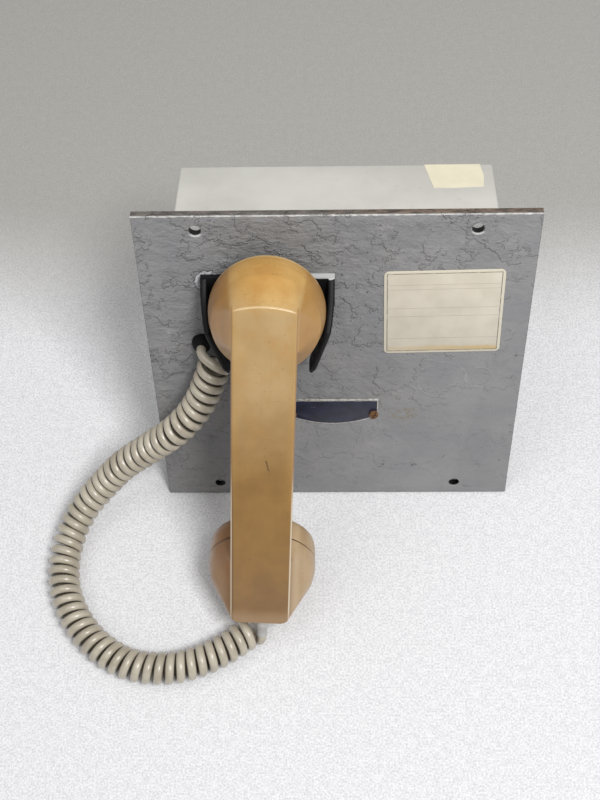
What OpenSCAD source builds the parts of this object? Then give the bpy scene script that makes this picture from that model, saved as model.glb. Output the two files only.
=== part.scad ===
// Flush-panel handset station: a steel face plate with a boxed amplifier behind it,
// a moulded cradle, and a handset on a curly cord. It rests tilted back on a surface.

/* [Face plate] */
// Width of the face plate
panel_w = 215.9; // [205:0.1:260]
// Height of the face plate
panel_h = 222.2; // [215:0.1:260]
// Thickness of the face plate
panel_t = 4.8; // [4:0.1:8]
// Sideways spacing of the wall screw holes
hole_dx = 149.2; // [130:0.1:180]
// Distance of the wall screw holes from the top and bottom edges
hole_edge = 9.5; // [8:0.1:14]
// Diameter of the wall screw holes
hole_d = 6.6; // [4:0.1:8]

/* [Rear box] */
// Width of the box
box_w = 179.6; // [172:0.1:190]
// Height of the box
box_h = 177.8; // [174:0.1:190]
// Depth of the box behind the face plate
box_d = 71.5; // [66:0.1:90]
// Sheet thickness of the box
box_wall = 1.5; // [1:0.1:2]
// Distance of the cover posts from the box sides
post_inset = 12; // [10:0.5:14]
// Size of the cover posts across the corners
post_d = 8; // [7:0.1:10]

/* [Cradle] */
// Sideways place of the cradle, left of the plate's centre line
cradle_x = 37.4; // [36:0.1:39]
// Height of the cradle's top edge above the plate's bottom edge
cradle_top = 183; // [180:0.5:186]
// Outside width of the cradle
cradle_w = 73.2; // [73:0.1:76]
// Thickness of the cradle's back plate
cradle_plate = 3.5; // [3:0.1:4]
// Thickness of the cradle's arms
arm_wall = 3.5; // [2.5:0.1:3.6]
// How far the arms stand out from the face plate
arm_out = 25; // [18:0.5:28]
// Height of the sloping top of the arms
arm_slope = 22; // [16:0.5:26]
// Height of the straight part of the arms, down to where they bend in
arm_straight = 16.3; // [14:0.1:20]
// Length of the leaning part of the arms
arm_lower = 35.5; // [32:0.5:38]
// Angle at which the arms lean in
arm_lean = 17.8; // [14:0.1:20]

/* [Hook switch] */
// Diameter of the plunger's stem
stem_d = 6; // [5:0.1:7]
// Radius of the plunger's round nose
nose_r = 5; // [4:0.1:6]
// Travel of the plunger
hook_travel = 6; // [3:0.5:6.5]
// Depth of the switch bridge behind the face plate
bridge_y = 21; // [20:0.5:24]
// Sheet thickness of the switch bridge
bridge_t = 1.5; // [1:0.1:2]

/* [Handset] */
// Radius of the round ear end
ear_r = 31.8; // [30.8:0.1:32]
// Distance of the ear end's centre in front of the face plate
ear_out = 22; // [21.5:0.1:24]
// Height of the ear end's centre above the plate's bottom edge
ear_up = 173.6; // [173:0.1:176]
// Outward tilt of the hanging handset
hand_tilt = 14.5; // [13:0.1:15]
// Sideways swing of the hanging handset
hand_swing = 2.7; // [0:0.1:3]
// Width of the handle's flat back
grip_w = 35; // [30:0.1:38]
// Distance of the flat back from the ear centre
grip_back = 31.5; // [31.4:0.1:33]
// Distance of the handle's inner face from the ear centre
grip_face = 8; // [7:0.1:9]
// Handle length below the ear centre
grip_len = 189; // [186:0.5:192]
// Height of the handle's upper crease above the ear centre
grip_crease = 19; // [14:0.5:22]
// Radius of the mouth end at its seam
mouth_r = 32; // [30:0.1:32.5]
// Distance of the mouth seam's centre below the ear centre
mouth_drop = 165; // [163:0.5:166]
// Tilt of the mouthpiece towards the ear
mouth_tilt = 23; // [20:0.5:24]
// Depth of the mouth cap
mouth_cap_h = 13; // [10:0.1:13.2]
// Depth of the ear cap in front of its seam
ear_cap_h = 8.4; // [7:0.1:8.6]
// Wall thickness of the caps
cap_wall = 3; // [2:0.1:3.5]

/* [Press bar] */
// Length of the press bar
bar_len = 78; // [60:1:80]
// Width of the press bar
bar_w = 14; // [10:0.5:15]
// How far the press bar stands out of the handle
bar_out = 6; // [4:0.5:6.5]
// Swing of the press bar when squeezed
bar_swing = 3.2; // [2:0.1:3.4]
// Diameter of the press bar's pin
bar_pin_d = 3; // [2:0.1:3.5]

/* [Plates] */
// Width of the rating plate
rating_w = 66; // [60:0.5:70]
// Height of the rating plate
rating_h = 60.5; // [55:0.5:62]
// Width of the nameplate
name_w = 54.6; // [52:0.1:58]
// Height of the nameplate at its ends
name_h = 14; // [12:0.1:16]
// Drop of the nameplate's curved lower edge
name_sag = 7.2; // [5:0.1:8]
// Thickness of the plates
plate_t = 0.6; // [0.4:0.1:1]

/* [Curly cord] */
// Diameter of the cord
cord_d = 5.2; // [4.6:0.1:5.2]
// Outside diameter of the curls
curl_d = 19.7; // [18:0.1:20]
// Number of curls
curls = 51; // [30:1:51]

/* [Circuit] */
// Width of the circuit board
board_w = 90; // [80:1:92]
// Height of the circuit board
board_h = 118; // [112:1:122]
// Thickness of the circuit board
board_t = 1.6; // [1.2:0.1:2.4]
// Distance of the circuit board behind the face plate
board_gap = 15; // [10:0.5:20]
// Diameter of the smoothing capacitors
cap_d = 18; // [12:0.5:20]
// Length of the smoothing capacitors
cap_len = 26; // [15:1:30]
// Diameter of the volume control's shaft
knob_d = 6; // [4:0.1:7]
// Width of the transformer core
core_w = 50; // [44:1:54]

/* [Hidden] */
$fn = 48;

// Clearances: a running fit, a loose fit, and the gap between faces of moving pieces
run = 0.05;
loose = 0.3;
gap = 0.3;
// Overshoot of a cut past the face that it opens
cut = 1;

// Resting attitude: the foot of the plate and the foot of the box touch the surface
box_inset = (panel_h - box_h) / 2;
lean_angle = atan2(box_inset, box_d);
hand_angle = lean_angle + hand_tilt;
// Front and rear reach from the plate's rear foot, and the shift that centres them over the origin
hand_y = ear_up * sin(lean_angle) - (ear_out + panel_t) * cos(lean_angle);
hand_down = grip_len * cos(hand_swing) + grip_w / 2 * sin(hand_swing);
reach_front = hand_y - hand_down * sin(hand_angle) - grip_back * cos(hand_angle);
reach_rear = box_d * cos(lean_angle) + (box_inset + box_h) * sin(lean_angle);
stand_y = -(reach_front + reach_rear) / 2;

// Small fasteners
screw_d = 3;
head_d = 5.6;
head_h = 2;
screw_len = 8;
blind = 2.5;

// Face plate: places from its lower front centre
gland_d = 11.5;
gland_neck = 9.6;
gland_tail = 10.6;
gland_up = 133.6;
gland_out = 5;
rating_at = [59.5, 154.5];
rating_turn = 1.2;
rating_r = 3;
name_at = [-2.3, 72];
name_screw_dx = 49.2;
name_screw_up = 1.2;
bush_wall = 2;
bush_d = stem_d + 2 * bush_wall;
bush_tail = 2;
bush_lip = 1.5;

// Rear box: posts and cable entry
post_dx = box_w - 2 * post_inset;
post_dz = box_h - 2 * post_inset;
box_back = panel_t + box_d;
grommet_x = -40;
grommet_back = 45;
grommet_y = panel_t + grommet_back;
grommet_d = 22;
grommet_neck = 18;
grommet_bore = 10;
grommet_lip = 2.5;

// Cradle: the arms' outer side, the height of their bend and the back plate's height
arm_side_x = cradle_w / 2;
arm_bend = cradle_top - arm_straight;
plate_h = 34;
// The gland stands midway between the box's side and the arm, level with the gland's top
arm_at_gland = cradle_x + arm_side_x - (arm_bend - gland_up - gland_d / 2) * tan(arm_lean);
gland_at = [(box_wall - box_w / 2 - arm_at_gland) / 2, gland_up];
cradle_screw_dx = 48;
cradle_screw_drop = 8;

// Handset: seams, cavities, handle section and mouth
ear_seam = 2;
ear_face_r = 26;
ear_cavity_r = 25;
ear_cavity = 14;
grip_face_w = 28;
grip_edge = 1.2;
grip_neck = 6;
grip_end = 45;
grip_end_t = 14;
mouth_face_r = 28.5;
mouth_off = 2;
mouth_rim = 1.5;
mouth_cavity_r = 25;
mouth_cavity = 14;
spigot = 4;
seam_gap = 0.2;
sound_d = 2.4;
sound_ring = 9;
capsule_r = 22;
capsule_h = 9;
relief_x = 5;
relief_back = 24.5;
relief_d = 8.5;
relief_tip = 6.6;
relief_len = 4;
relief_root = 6;

// Press bar: its slot, pin, switch and spring, measured down the handle
slot_top = 36;
slot_depth = 12;
slot_side = 0.5;
slot_end = 4;
bar_head = 2;
bar_top = slot_top + bar_head;
bar_depth = 10;
bar_pin_drop = 8;
bar_pin_down = slot_top + bar_pin_drop;
bar_pin_in = 2;
bar_pin_len = 24;
bar_back = grip_face - bar_out + bar_depth;
button_drop = 68;
button_down = bar_top + button_drop;
button_d = 5;
button_travel = 1.4;
button_root = 3;
button_at = bar_back + (button_down - bar_pin_down) * sin(bar_swing) - button_travel + gap;
press_switch_size = [11, 7, 12];
bar_spring_drop = 48;
bar_spring_down = bar_top + bar_spring_drop;
bar_spring_d = 7;
bar_spring_wire = 0.8;

// Hook switch: the plunger's nose touches the ear cap's face, and its tail works the lever
ear_face = ear_seam + ear_cap_h;
hook_at = [-cradle_x, ear_up - ear_face * sin(hand_tilt)];
nose_out = ear_out - ear_face * cos(hand_tilt) - (nose_r + gap) / cos(hand_tilt);
bridge_back = panel_t + bridge_y + bridge_t;
stem_tail = 4;
stem_end = bridge_back + stem_tail;
collar_rim = 3;
collar_d = stem_d + 2 * collar_rim;
collar_h = 2;
collar_y = panel_t + bush_tail + hook_travel + gap;
spring_wire = 1.5;
spring_in = stem_d + 1;
spring_d = spring_in + 2 * spring_wire;
bridge_w = 42;
bridge_h = 22;
foot_len = 9;
tab_w = 22;
lever_t = 0.8;
lever_w = 4;
lever_len = 18;
lever_pin_d = 1.2;
lever_x = -9.5;
lever_y = stem_end + gap + lever_t / 2;
switch_w = 20;
switch_h = 10;
switch_d = 10;
switch_gap = 1;
switch_y = lever_y + lever_t / 2 + switch_gap;
ear_t = 1;
small_screw_d = 2;
small_head_d = 3.6;
small_screw_dx = 12;

// Circuit board, set in the box's upper corner, and what stands on it, from the board's centre
board_side = 3.3;
board_under = 3;
board_x = box_w / 2 - box_wall - board_side - board_w / 2;
board_z = box_inset + box_h - post_inset - post_d / 2 - board_under - board_h / 2;
board_y = panel_t + board_gap;
board_back = board_y + board_t;
board_post_inset = 5;
board_post_d = 6;
terminals = 8;
terminal_pitch = 9;
terminal_size = [74, 13, 12];
terminal_edge = 11;
terminal_drop = terminal_edge - board_h / 2;
terminal_head_d = 5;
cap_at = [-29, -22];
cap_pitch = 24;
sink_at = [11, 24];
sink_size = [46, 3, 50];
fin_t = 1.5;
fin_h = 16;
fin_pitch = 4;
transistor_d = 18;
transistor_h = 7;
transistor_dz = 24;
pot_at = [-29, 36];
pot_d = 17;
pot_h = 8;
pot_neck_d = 9;
pot_neck_h = 6;
shaft_out = 6;
shaft_slot = [1, 1.5];
fuse_at = [17, -14];
fuse_d = 6.3;
fuse_len = 32;
fuse_lift = 6;
clip_w = 6;
clip_size = 9;

// Transformer: legs and windows follow the core's width
core_up = 39.8;
core_at = [-50, box_inset + core_up];
core_a = core_w / 6;
core_h = 5 * core_a;
core_d = 20;
core_gap = 10;
core_y = panel_t + core_gap;
coil_wall = 7;
coil_gap = 0.4;
stud_d = 3.5;
stud_collar = 7;
nut_d = 7;
nut_h = 3;

// Curly cord: points along the middle of the curls, from the cradle down to the surface and round
// to the handset, measured from the plate's rear foot
cord_axis = [[-69.3, 22, 124.1], [-80.2, 9.4, 100.4], [-95, 0.9, 82.9], [-113, -1.3, 63.2],
    [-131, -4.6, 45.9], [-146, -11.5, 30], [-158.5, -22, 19.5], [-166.5, -36, 13],
    [-170, -53, 10.5], [-168.5, -71, 10.5], [-162, -88, 10.5], [-151.5, -102.5, 10.5],
    [-139, -113, 10.5], [-125, -120, 10.5], [-110, -122.5, 10.5], [-95, -121.5, 10.5],
    [-80.5, -117, 10.5], [-67, -110, 10.5], [-57, -103, 10.5], [-49.5, -97.5, 10.5]];
curl_r = (curl_d - cord_d) / 2;
curl_rings = 8;
curl_sides = 6;
axis_steps = 12;
tail_rings = 8;
tail_pull = 9;
// Rings past the last whole curl, where the cord turns up to the handset
last_rings = 3;

module lean() {
    translate([0, stand_y, 0]) rotate([-lean_angle, 0, 0]) translate([0, -panel_t, 0]) children();
}

// Stands children, with Z outwards, at a place on the face plate's front and a distance in front of it
module on_front(at, out = 0) {
    lean() translate([at[0], -out, at[1]]) rotate([90, 0, 0]) children();
}

// Stands children, with Z inwards, at a place on the plate and a distance y behind its front
module on_back(at, y) {
    lean() translate([at[0], y, at[1]]) rotate([-90, 180, 0]) children();
}

// Handset frame: the origin at the ear end's centre, Y towards the plate, Z up the handle
module in_hand() {
    lean() translate([-cradle_x, -ear_out, ear_up]) rotate([-hand_tilt, 0, 0]) rotate([0, hand_swing, 0])
        children();
}

// Frames of the caps: Z points out of the earpiece or the mouthpiece, from its seam
module ear_frame() {
    translate([0, ear_seam, 0]) rotate([-90, 0, 0]) children();
}

module mouth_frame() {
    translate([0, -mouth_off, -mouth_drop]) rotate([mouth_tilt, 0, 0]) rotate([-90, 0, 0]) children();
}

module at_corners(dx, dz) {
    for (x = [-dx, dx] / 2)
        for (z = [-dz, dz] / 2)
            translate([x, z, 0]) children();
}

module at_pair(dx) {
    for (x = [-dx, dx] / 2)
        translate([x, 0, 0]) children();
}

module screw(len = screw_len, d = screw_d, head = head_d) {
    cylinder(d = head, h = head_h);
    translate([0, 0, -len]) cylinder(d = d, h = len);
}

// A hole through a thickness below its frame's origin
module hole(d, through) {
    translate([0, 0, -through - cut]) cylinder(d = d, h = through + 2 * cut);
}

module tube(outer, inner, h) {
    difference() {
        cylinder(d = outer, h = h);
        translate([0, 0, -cut]) cylinder(d = inner, h = h + 2 * cut);
    }
}

// A block that stands on its frame's origin
module block(size) {
    translate([-size[0] / 2, -size[2] / 2, 0]) cube([size[0], size[2], size[1]]);
}

module rounded_plate(w, h, t, r) {
    linear_extrude(t) {
        square([w - 2 * r, h], center = true);
        square([w, h - 2 * r], center = true);
        for (x = [r - w / 2, w / 2 - r])
            for (y = [r - h / 2, h / 2 - r])
                translate([x, y]) circle(r);
    }
}

module cradle_screw_places() {
    on_front([-cradle_x, cradle_top - cradle_screw_drop], cradle_plate) at_pair(cradle_screw_dx) children();
}

module name_screw_places() {
    on_front([name_at[0], name_at[1] + name_screw_up], plate_t) at_pair(name_screw_dx) children();
}

module bridge_screw_places() {
    on_back(hook_at, panel_t + bridge_t) at_pair(bridge_w + foot_len) children();
}

module box_screw_places() {
    on_back([0, panel_h / 2], box_back) at_corners(post_dx, post_dz) children();
}

module board_screw_places() {
    on_back([board_x, board_z], board_back)
        at_corners(board_w - 2 * board_post_inset, board_h - 2 * board_post_inset) children();
}

module on_board(at = [0, 0]) {
    on_back([board_x + at[0], board_z + at[1]], board_back) children();
}

module front_panel() {
    color([0.55, 0.55, 0.55]) difference() {
        lean() translate([-panel_w / 2, 0, 0]) cube([panel_w, panel_t, panel_h]);
        on_front([0, panel_h / 2]) at_corners(hole_dx, panel_h - 2 * hole_edge) hole(hole_d, panel_t);
        on_front(gland_at) hole(gland_neck + 2 * run, panel_t);
        on_front(hook_at) hole(bush_d + 2 * run, panel_t);
        cradle_screw_places() hole(screw_d + 2 * run, panel_t + cradle_plate);
        name_screw_places() hole(screw_d + 2 * run, panel_t + plate_t);
        bridge_screw_places() translate([0, 0, -bridge_t - blind - gap])
            cylinder(d = screw_d + 2 * run, h = bridge_t + blind + gap);
    }
}

module rear_box() {
    color([0.8, 0.79, 0.77]) difference() {
        lean() translate([-box_w / 2, panel_t, box_inset]) cube([box_w, box_d, box_h]);
        lean() translate([-box_w / 2 + box_wall, panel_t - cut, box_inset + box_wall])
            cube([box_w - 2 * box_wall, box_d + cut - box_wall, box_h - 2 * box_wall]);
        box_screw_places() hole(screw_d + 2 * loose, box_wall);
        lean() translate([grommet_x, grommet_y, box_inset + box_wall])
            hole(grommet_neck + 2 * run, box_wall);
    }
}

module box_posts() {
    color([0.7, 0.7, 0.7]) difference() {
        on_back([0, panel_h / 2], panel_t) at_corners(post_dx, post_dz)
            cylinder(d = post_d, h = box_d - box_wall, $fn = 6);
        box_screw_places() hole(screw_d + 2 * run, screw_len);
    }
}

module box_screws() {
    color([0.6, 0.6, 0.6]) box_screw_places() screw();
}

module cable_grommet() {
    color([0.1, 0.1, 0.1]) lean() translate([grommet_x, grommet_y, box_inset]) difference() {
        union() {
            translate([0, 0, box_wall]) cylinder(d = grommet_d, h = grommet_lip);
            cylinder(d = grommet_neck, h = box_wall);
            translate([0, 0, -grommet_lip]) cylinder(d = grommet_d, h = grommet_lip);
        }
        translate([0, 0, box_wall + grommet_lip]) hole(grommet_bore, box_wall + 2 * grommet_lip);
    }
}

// Outline of one arm, seen from the front, about its bend's outer corner
module arm_outline() {
    translate([-arm_wall, 0]) square([arm_wall, arm_straight]);
    rotate(-arm_lean) {
        translate([-arm_wall, -arm_lower]) square([arm_wall, arm_lower]);
        translate([-arm_wall / 2, -arm_lower]) circle(d = arm_wall);
    }
}

// Side view of the arms: full depth below, sloping back to the plate at the top
module arm_side() {
    low = arm_bend - arm_lower - arm_wall;
    rotate([90, 0, 90]) linear_extrude(cradle_w + 2 * cut, center = true)
        polygon([[0, cradle_top], [-cradle_plate, cradle_top], [-arm_out, cradle_top - arm_slope],
            [-arm_out, low], [0, low]]);
}

module cradle() {
    color([0.06, 0.06, 0.06]) difference() {
        union() {
            intersection() {
                on_front([-cradle_x, arm_bend]) linear_extrude(arm_out)
                    for (side = [0, 1])
                        mirror([side, 0]) translate([arm_side_x, 0]) arm_outline();
                lean() translate([-cradle_x, 0, 0]) arm_side();
            }
            on_front([-cradle_x, cradle_top - plate_h / 2]) block([cradle_w, cradle_plate, plate_h]);
        }
        on_front(hook_at, cradle_plate) hole(stem_d + 2 * loose, cradle_plate);
        cradle_screw_places() hole(screw_d + 2 * run, cradle_plate);
    }
}

module cradle_screws() {
    color([0.5, 0.5, 0.5]) cradle_screw_places() screw();
}

module rating_plate() {
    color([0.88, 0.84, 0.74]) on_front(rating_at) rotate(rating_turn)
        rounded_plate(rating_w, rating_h, plate_t, rating_r);
}

module nameplate() {
    sag_r = (name_w * name_w / 4 + name_sag * name_sag) / (2 * name_sag);
    color([0.12, 0.14, 0.25]) difference() {
        on_front(name_at) linear_extrude(plate_t) {
            translate([-name_w / 2, 0]) square([name_w, name_h]);
            intersection() {
                translate([0, sag_r - name_sag]) circle(sag_r);
                translate([-name_w / 2, -name_sag]) square([name_w, name_sag]);
            }
        }
        name_screw_places() hole(screw_d + 2 * run, plate_t);
    }
}

module nameplate_screws() {
    color([0.45, 0.3, 0.2]) name_screw_places() screw(panel_t);
}

module cord_gland() {
    color([0.07, 0.07, 0.07]) on_front(gland_at) {
        cylinder(d = gland_d, h = gland_out / 2);
        translate([0, 0, gland_out / 2]) cylinder(d1 = gland_d, d2 = gland_neck, h = gland_out / 2);
        translate([0, 0, -panel_t]) cylinder(d = gland_neck, h = panel_t);
        translate([0, 0, -panel_t - gland_out / 2]) cylinder(d = gland_tail, h = gland_out / 2);
    }
}

module plunger_bush() {
    color([0.75, 0.6, 0.3]) on_back(hook_at, 0) {
        tube(bush_d, stem_d + 2 * run, panel_t);
        translate([0, 0, panel_t]) tube(bush_d + 2 * bush_lip, stem_d + 2 * run, bush_tail);
    }
}

module hook_plunger() {
    color([0.1, 0.1, 0.1]) on_front(hook_at) {
        difference() {
            translate([0, 0, nose_out]) sphere(nose_r);
            translate([0, 0, cradle_plate + gap - 2 * nose_r]) cylinder(r = nose_r + cut, h = 2 * nose_r);
        }
        translate([0, 0, -stem_end]) cylinder(d = stem_d, h = stem_end + nose_out);
    }
}

module plunger_collar() {
    color([0.7, 0.7, 0.7]) on_back(hook_at, collar_y) tube(collar_d, stem_d + 2 * run, collar_h);
}

module plunger_spring() {
    from = collar_y + collar_h;
    color([0.65, 0.65, 0.65]) on_back(hook_at, from) tube(spring_d, spring_in, panel_t + bridge_y - from);
}

module switch_bridge() {
    leg = bridge_y + bridge_t;
    color([0.7, 0.7, 0.65]) difference() {
        on_back(hook_at, panel_t) {
            translate([0, 0, bridge_y]) block([bridge_w, bridge_t, bridge_h]);
            at_pair(bridge_w - bridge_t) block([bridge_t, leg, bridge_h]);
            at_pair(bridge_w + foot_len) block([foot_len, bridge_t, bridge_h / 2]);
            translate([0, (switch_h + bridge_t) / 2, bridge_y])
                block([tab_w, switch_y + switch_d - panel_t - bridge_y, bridge_t]);
        }
        on_back(hook_at, bridge_back) hole(stem_d + 2 * loose, bridge_t);
        bridge_screw_places() hole(screw_d + 2 * run, bridge_t);
        switch_screw_places() hole(small_screw_d + 2 * run, bridge_t);
    }
}

module bridge_screws() {
    color([0.6, 0.6, 0.6]) bridge_screw_places() screw(bridge_t + blind);
}

// The switch screws come down through the bridge's tab
module switch_screw_places() {
    lean() translate([hook_at[0], switch_y + switch_d / 2, hook_at[1] + switch_h / 2 + bridge_t])
        at_pair(small_screw_dx) children();
}

module hook_switch() {
    ear_z = lever_w / 2 + gap + ear_t / 2;
    color([0.15, 0.15, 0.18]) difference() {
        on_back(hook_at, switch_y) {
            block([switch_w, switch_d, switch_h]);
            for (z = [-ear_z, ear_z])
                translate([-lever_x, z, lever_y - switch_y - lever_pin_d])
                    block([2 * lever_pin_d, switch_y - lever_y + lever_pin_d, ear_t]);
        }
        lean() translate([hook_at[0] + lever_x, lever_y, hook_at[1] + switch_h])
            hole(lever_pin_d + 2 * run, 2 * switch_h);
        switch_screw_places() hole(small_screw_d + 2 * run, bridge_t + screw_len);
    }
}

module switch_screws() {
    color([0.6, 0.6, 0.6]) switch_screw_places() screw(screw_len, small_screw_d, small_head_d);
}

module switch_lever() {
    color([0.75, 0.75, 0.75]) lean() translate([hook_at[0] + lever_x, lever_y, hook_at[1]]) {
        translate([0, -lever_t / 2, -lever_w / 2]) cube([lever_len, lever_t, lever_w]);
        cylinder(d = lever_pin_d, h = lever_w + 2 * gap + 2 * ear_t, center = true);
    }
}

module circuit_board() {
    color([0.2, 0.4, 0.25]) difference() {
        on_back([board_x, board_z], board_y) block([board_w, board_t, board_h]);
        board_screw_places() hole(screw_d + 2 * run, board_t);
    }
}

module board_posts() {
    color([0.75, 0.75, 0.75]) difference() {
        board_screw_places() translate([0, 0, -board_t - board_gap])
            cylinder(d = board_post_d, h = board_gap);
        board_screw_places() hole(screw_d + 2 * run, screw_len);
    }
}

module board_screws() {
    color([0.6, 0.6, 0.6]) board_screw_places() screw();
}

module terminal_places() {
    on_board([0, terminal_drop]) translate([0, 0, terminal_size[1]])
        for (i = [0 : terminals - 1])
            translate([(i - (terminals - 1) / 2) * terminal_pitch, 0, 0]) children();
}

module terminal_block() {
    color([0.12, 0.1, 0.09]) difference() {
        on_board([0, terminal_drop]) block(terminal_size);
        terminal_places() hole(screw_d + 2 * run, screw_len);
    }
}

module terminal_screws() {
    color([0.72, 0.6, 0.3]) terminal_places() screw(screw_len, screw_d, terminal_head_d);
}

module smoothing_capacitors() {
    color([0.2, 0.25, 0.45])
        for (i = [0, 1])
            on_board([cap_at[0], cap_at[1] + i * cap_pitch]) cylinder(d = cap_d, h = cap_len);
}

module heat_sink() {
    color([0.15, 0.15, 0.15]) on_board(sink_at) {
        block(sink_size);
        for (side = [-1, 1])
            for (i = [0 : 2])
                translate([side * ((sink_size[0] - fin_t) / 2 - i * fin_pitch), 0, sink_size[1]])
                    block([fin_t, fin_h, sink_size[2]]);
    }
}

module output_transistors() {
    color([0.7, 0.7, 0.7])
        for (side = [-1, 1])
            on_board([sink_at[0], sink_at[1] + side * transistor_dz / 2])
                translate([0, 0, sink_size[1]]) cylinder(d = transistor_d, h = transistor_h);
}

module volume_control() {
    color([0.6, 0.6, 0.55]) on_board(pot_at) {
        tube(pot_d, knob_d + 2 * run, pot_h);
        translate([0, 0, pot_h]) tube(pot_neck_d, knob_d + 2 * run, pot_neck_h);
    }
}

module volume_shaft() {
    len = pot_h + pot_neck_h + shaft_out - gap;
    color([0.8, 0.8, 0.75]) on_board(pot_at) difference() {
        translate([0, 0, gap]) cylinder(d = knob_d, h = len);
        translate([-knob_d, -shaft_slot[0] / 2, gap + len - shaft_slot[1]])
            cube([2 * knob_d, shaft_slot[0], shaft_slot[1] + cut]);
    }
}

module fuse_body(d, len) {
    on_board(fuse_at) translate([-len / 2, 0, fuse_lift]) rotate([0, 90, 0]) cylinder(d = d, h = len);
}

module fuse_clips() {
    color([0.75, 0.65, 0.35]) difference() {
        on_board(fuse_at) at_pair(fuse_len - clip_w) block([clip_w, fuse_lift, clip_size]);
        fuse_body(fuse_d + 2 * run, fuse_len + 2 * cut);
    }
}

module fuse() {
    color([0.8, 0.85, 0.85]) fuse_body(fuse_d, fuse_len);
}

module stud_places() {
    on_back(core_at, core_y) at_corners(core_w - core_a, core_h - core_a) children();
}

module transformer_core() {
    color([0.3, 0.3, 0.32]) difference() {
        on_back(core_at, core_y) block([core_w, core_d, core_h]);
        on_back(core_at, core_y - cut) at_pair(3 * core_a) block([core_a, core_d + 2 * cut, 3 * core_a]);
        stud_places() translate([0, 0, core_d]) hole(stud_d + 2 * run, core_d);
    }
}

module transformer_winding() {
    color([0.55, 0.3, 0.15]) difference() {
        on_back(core_at, core_y - coil_wall)
            block([4 * core_a - 2 * coil_gap, core_d + 2 * coil_wall, 3 * core_a - 2 * coil_gap]);
        on_back(core_at, core_y - coil_gap)
            block([2 * (core_a + coil_gap), core_d + 2 * coil_gap, 3 * core_a]);
    }
}

module transformer_screws() {
    color([0.6, 0.6, 0.6]) stud_places() {
        translate([0, 0, panel_t - core_y]) cylinder(d = stud_collar, h = core_y - panel_t);
        cylinder(d = stud_d, h = core_d);
        translate([0, 0, core_d]) cylinder(d = nut_d, h = nut_h, $fn = 6);
    }
}

// Handle section, with its flat back and trimmed edges, between two heights
module grip(low, high) {
    half = grip_w / 2;
    face = grip_face_w / 2;
    translate([0, 0, low]) linear_extrude(high - low)
        polygon([[grip_edge - half, -grip_back], [half - grip_edge, -grip_back],
            [half, grip_edge - grip_back], [face, -grip_face], [-face, -grip_face],
            [-half, grip_edge - grip_back]]);
}

module handset_shell() {
    slot_w = bar_w + 2 * slot_side;
    slot_len = bar_len + slot_end;
    color([0.8, 0.62, 0.33]) in_hand() difference() {
        union() {
            hull() {
                sphere(ear_r, $fn = 40);
                grip(-grip_neck, grip_crease);
            }
            grip(-grip_len, 0);
            hull() {
                mouth_frame() translate([0, 0, -mouth_rim]) cylinder(r = mouth_r, h = mouth_rim);
                translate([-grip_w / 2, -grip_back, -grip_len]) cube([grip_w, grip_end_t, grip_end]);
            }
        }
        ear_frame() cylinder(r = 2 * ear_r, h = 2 * ear_r);
        ear_frame() translate([0, 0, -ear_cavity]) cylinder(r = ear_cavity_r, h = ear_cavity + cut);
        mouth_frame() cylinder(r = mouth_r + gap, h = 2 * mouth_r);
        mouth_frame() translate([0, 0, -mouth_cavity]) cylinder(r = mouth_cavity_r, h = mouth_cavity + cut);
        translate([-slot_w / 2, -grip_face - slot_depth, -slot_top - slot_len])
            cube([slot_w, slot_depth + cut, slot_len]);
        press_pin_place() cylinder(d = bar_pin_d + 2 * run, h = bar_pin_len + 2 * run, center = true);
        press_switch_place() block(press_switch_size);
        translate([relief_x, -relief_back, -grip_len + relief_root])
            hole(relief_tip + 2 * run, relief_root);
        translate([relief_x, -relief_back, -grip_len - cut]) hole(relief_d + 2 * gap, relief_len);
    }
}

module cap_holes(depth) {
    hole(sound_d, depth);
    for (i = [0 : 5])
        rotate(i * 60) translate([sound_ring, 0, 0]) hole(sound_d, depth);
}

// A cap with a rounded shoulder, a spigot that enters the shell and a hollow behind its face
module cap(rim_r, face_r, h, cavity_r) {
    shoulder = h / 2;
    difference() {
        union() {
            translate([0, 0, seam_gap]) cylinder(r = rim_r, h = h - shoulder - seam_gap);
            translate([0, 0, h - shoulder]) cylinder(r1 = rim_r, r2 = face_r, h = shoulder);
            translate([0, 0, -spigot]) cylinder(r = cavity_r - run, h = spigot + cap_wall);
        }
        translate([0, 0, -spigot - cut]) cylinder(r = cavity_r - cap_wall, h = spigot + h - cap_wall + cut);
        translate([0, 0, h]) cap_holes(cap_wall);
    }
}

module ear_cap() {
    color([0.76, 0.58, 0.3]) in_hand() ear_frame()
        cap(ear_r - gap, ear_face_r, ear_cap_h, ear_cavity_r);
}

module receiver_capsule() {
    color([0.5, 0.5, 0.5]) in_hand() ear_frame() translate([0, 0, -ear_cavity])
        cylinder(r = capsule_r - cap_wall, h = capsule_h);
}

module mouth_cap() {
    color([0.76, 0.58, 0.3]) in_hand() mouth_frame()
        cap(mouth_r - gap, mouth_face_r, mouth_cap_h, mouth_cavity_r);
}

module transmitter_capsule() {
    color([0.5, 0.5, 0.5]) in_hand() mouth_frame() translate([0, 0, -mouth_cavity])
        cylinder(r = capsule_r - cap_wall, h = capsule_h);
}

module cord_relief() {
    color([0.6, 0.6, 0.6]) in_hand() translate([relief_x, -relief_back, -grip_len]) {
        cylinder(d = relief_tip, h = relief_root);
        translate([0, 0, -relief_len]) cylinder(d1 = relief_tip, d2 = relief_d, h = relief_len);
    }
}

module press_pin_place() {
    translate([0, -grip_face - bar_pin_in, -bar_pin_down]) rotate([0, 90, 0]) children();
}

// Switch place: Z points into the handle from the slot's floor
module press_switch_place() {
    translate([0, -grip_face - slot_depth, -button_down]) rotate([90, 0, 0]) children();
}

module press_bar() {
    color([0.2, 0.18, 0.16]) in_hand() difference() {
        translate([-bar_w / 2, -bar_back, -bar_top - bar_len]) cube([bar_w, bar_depth, bar_len]);
        press_pin_place() cylinder(d = bar_pin_d + 2 * run, h = bar_w + 2 * cut, center = true);
    }
}

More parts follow.
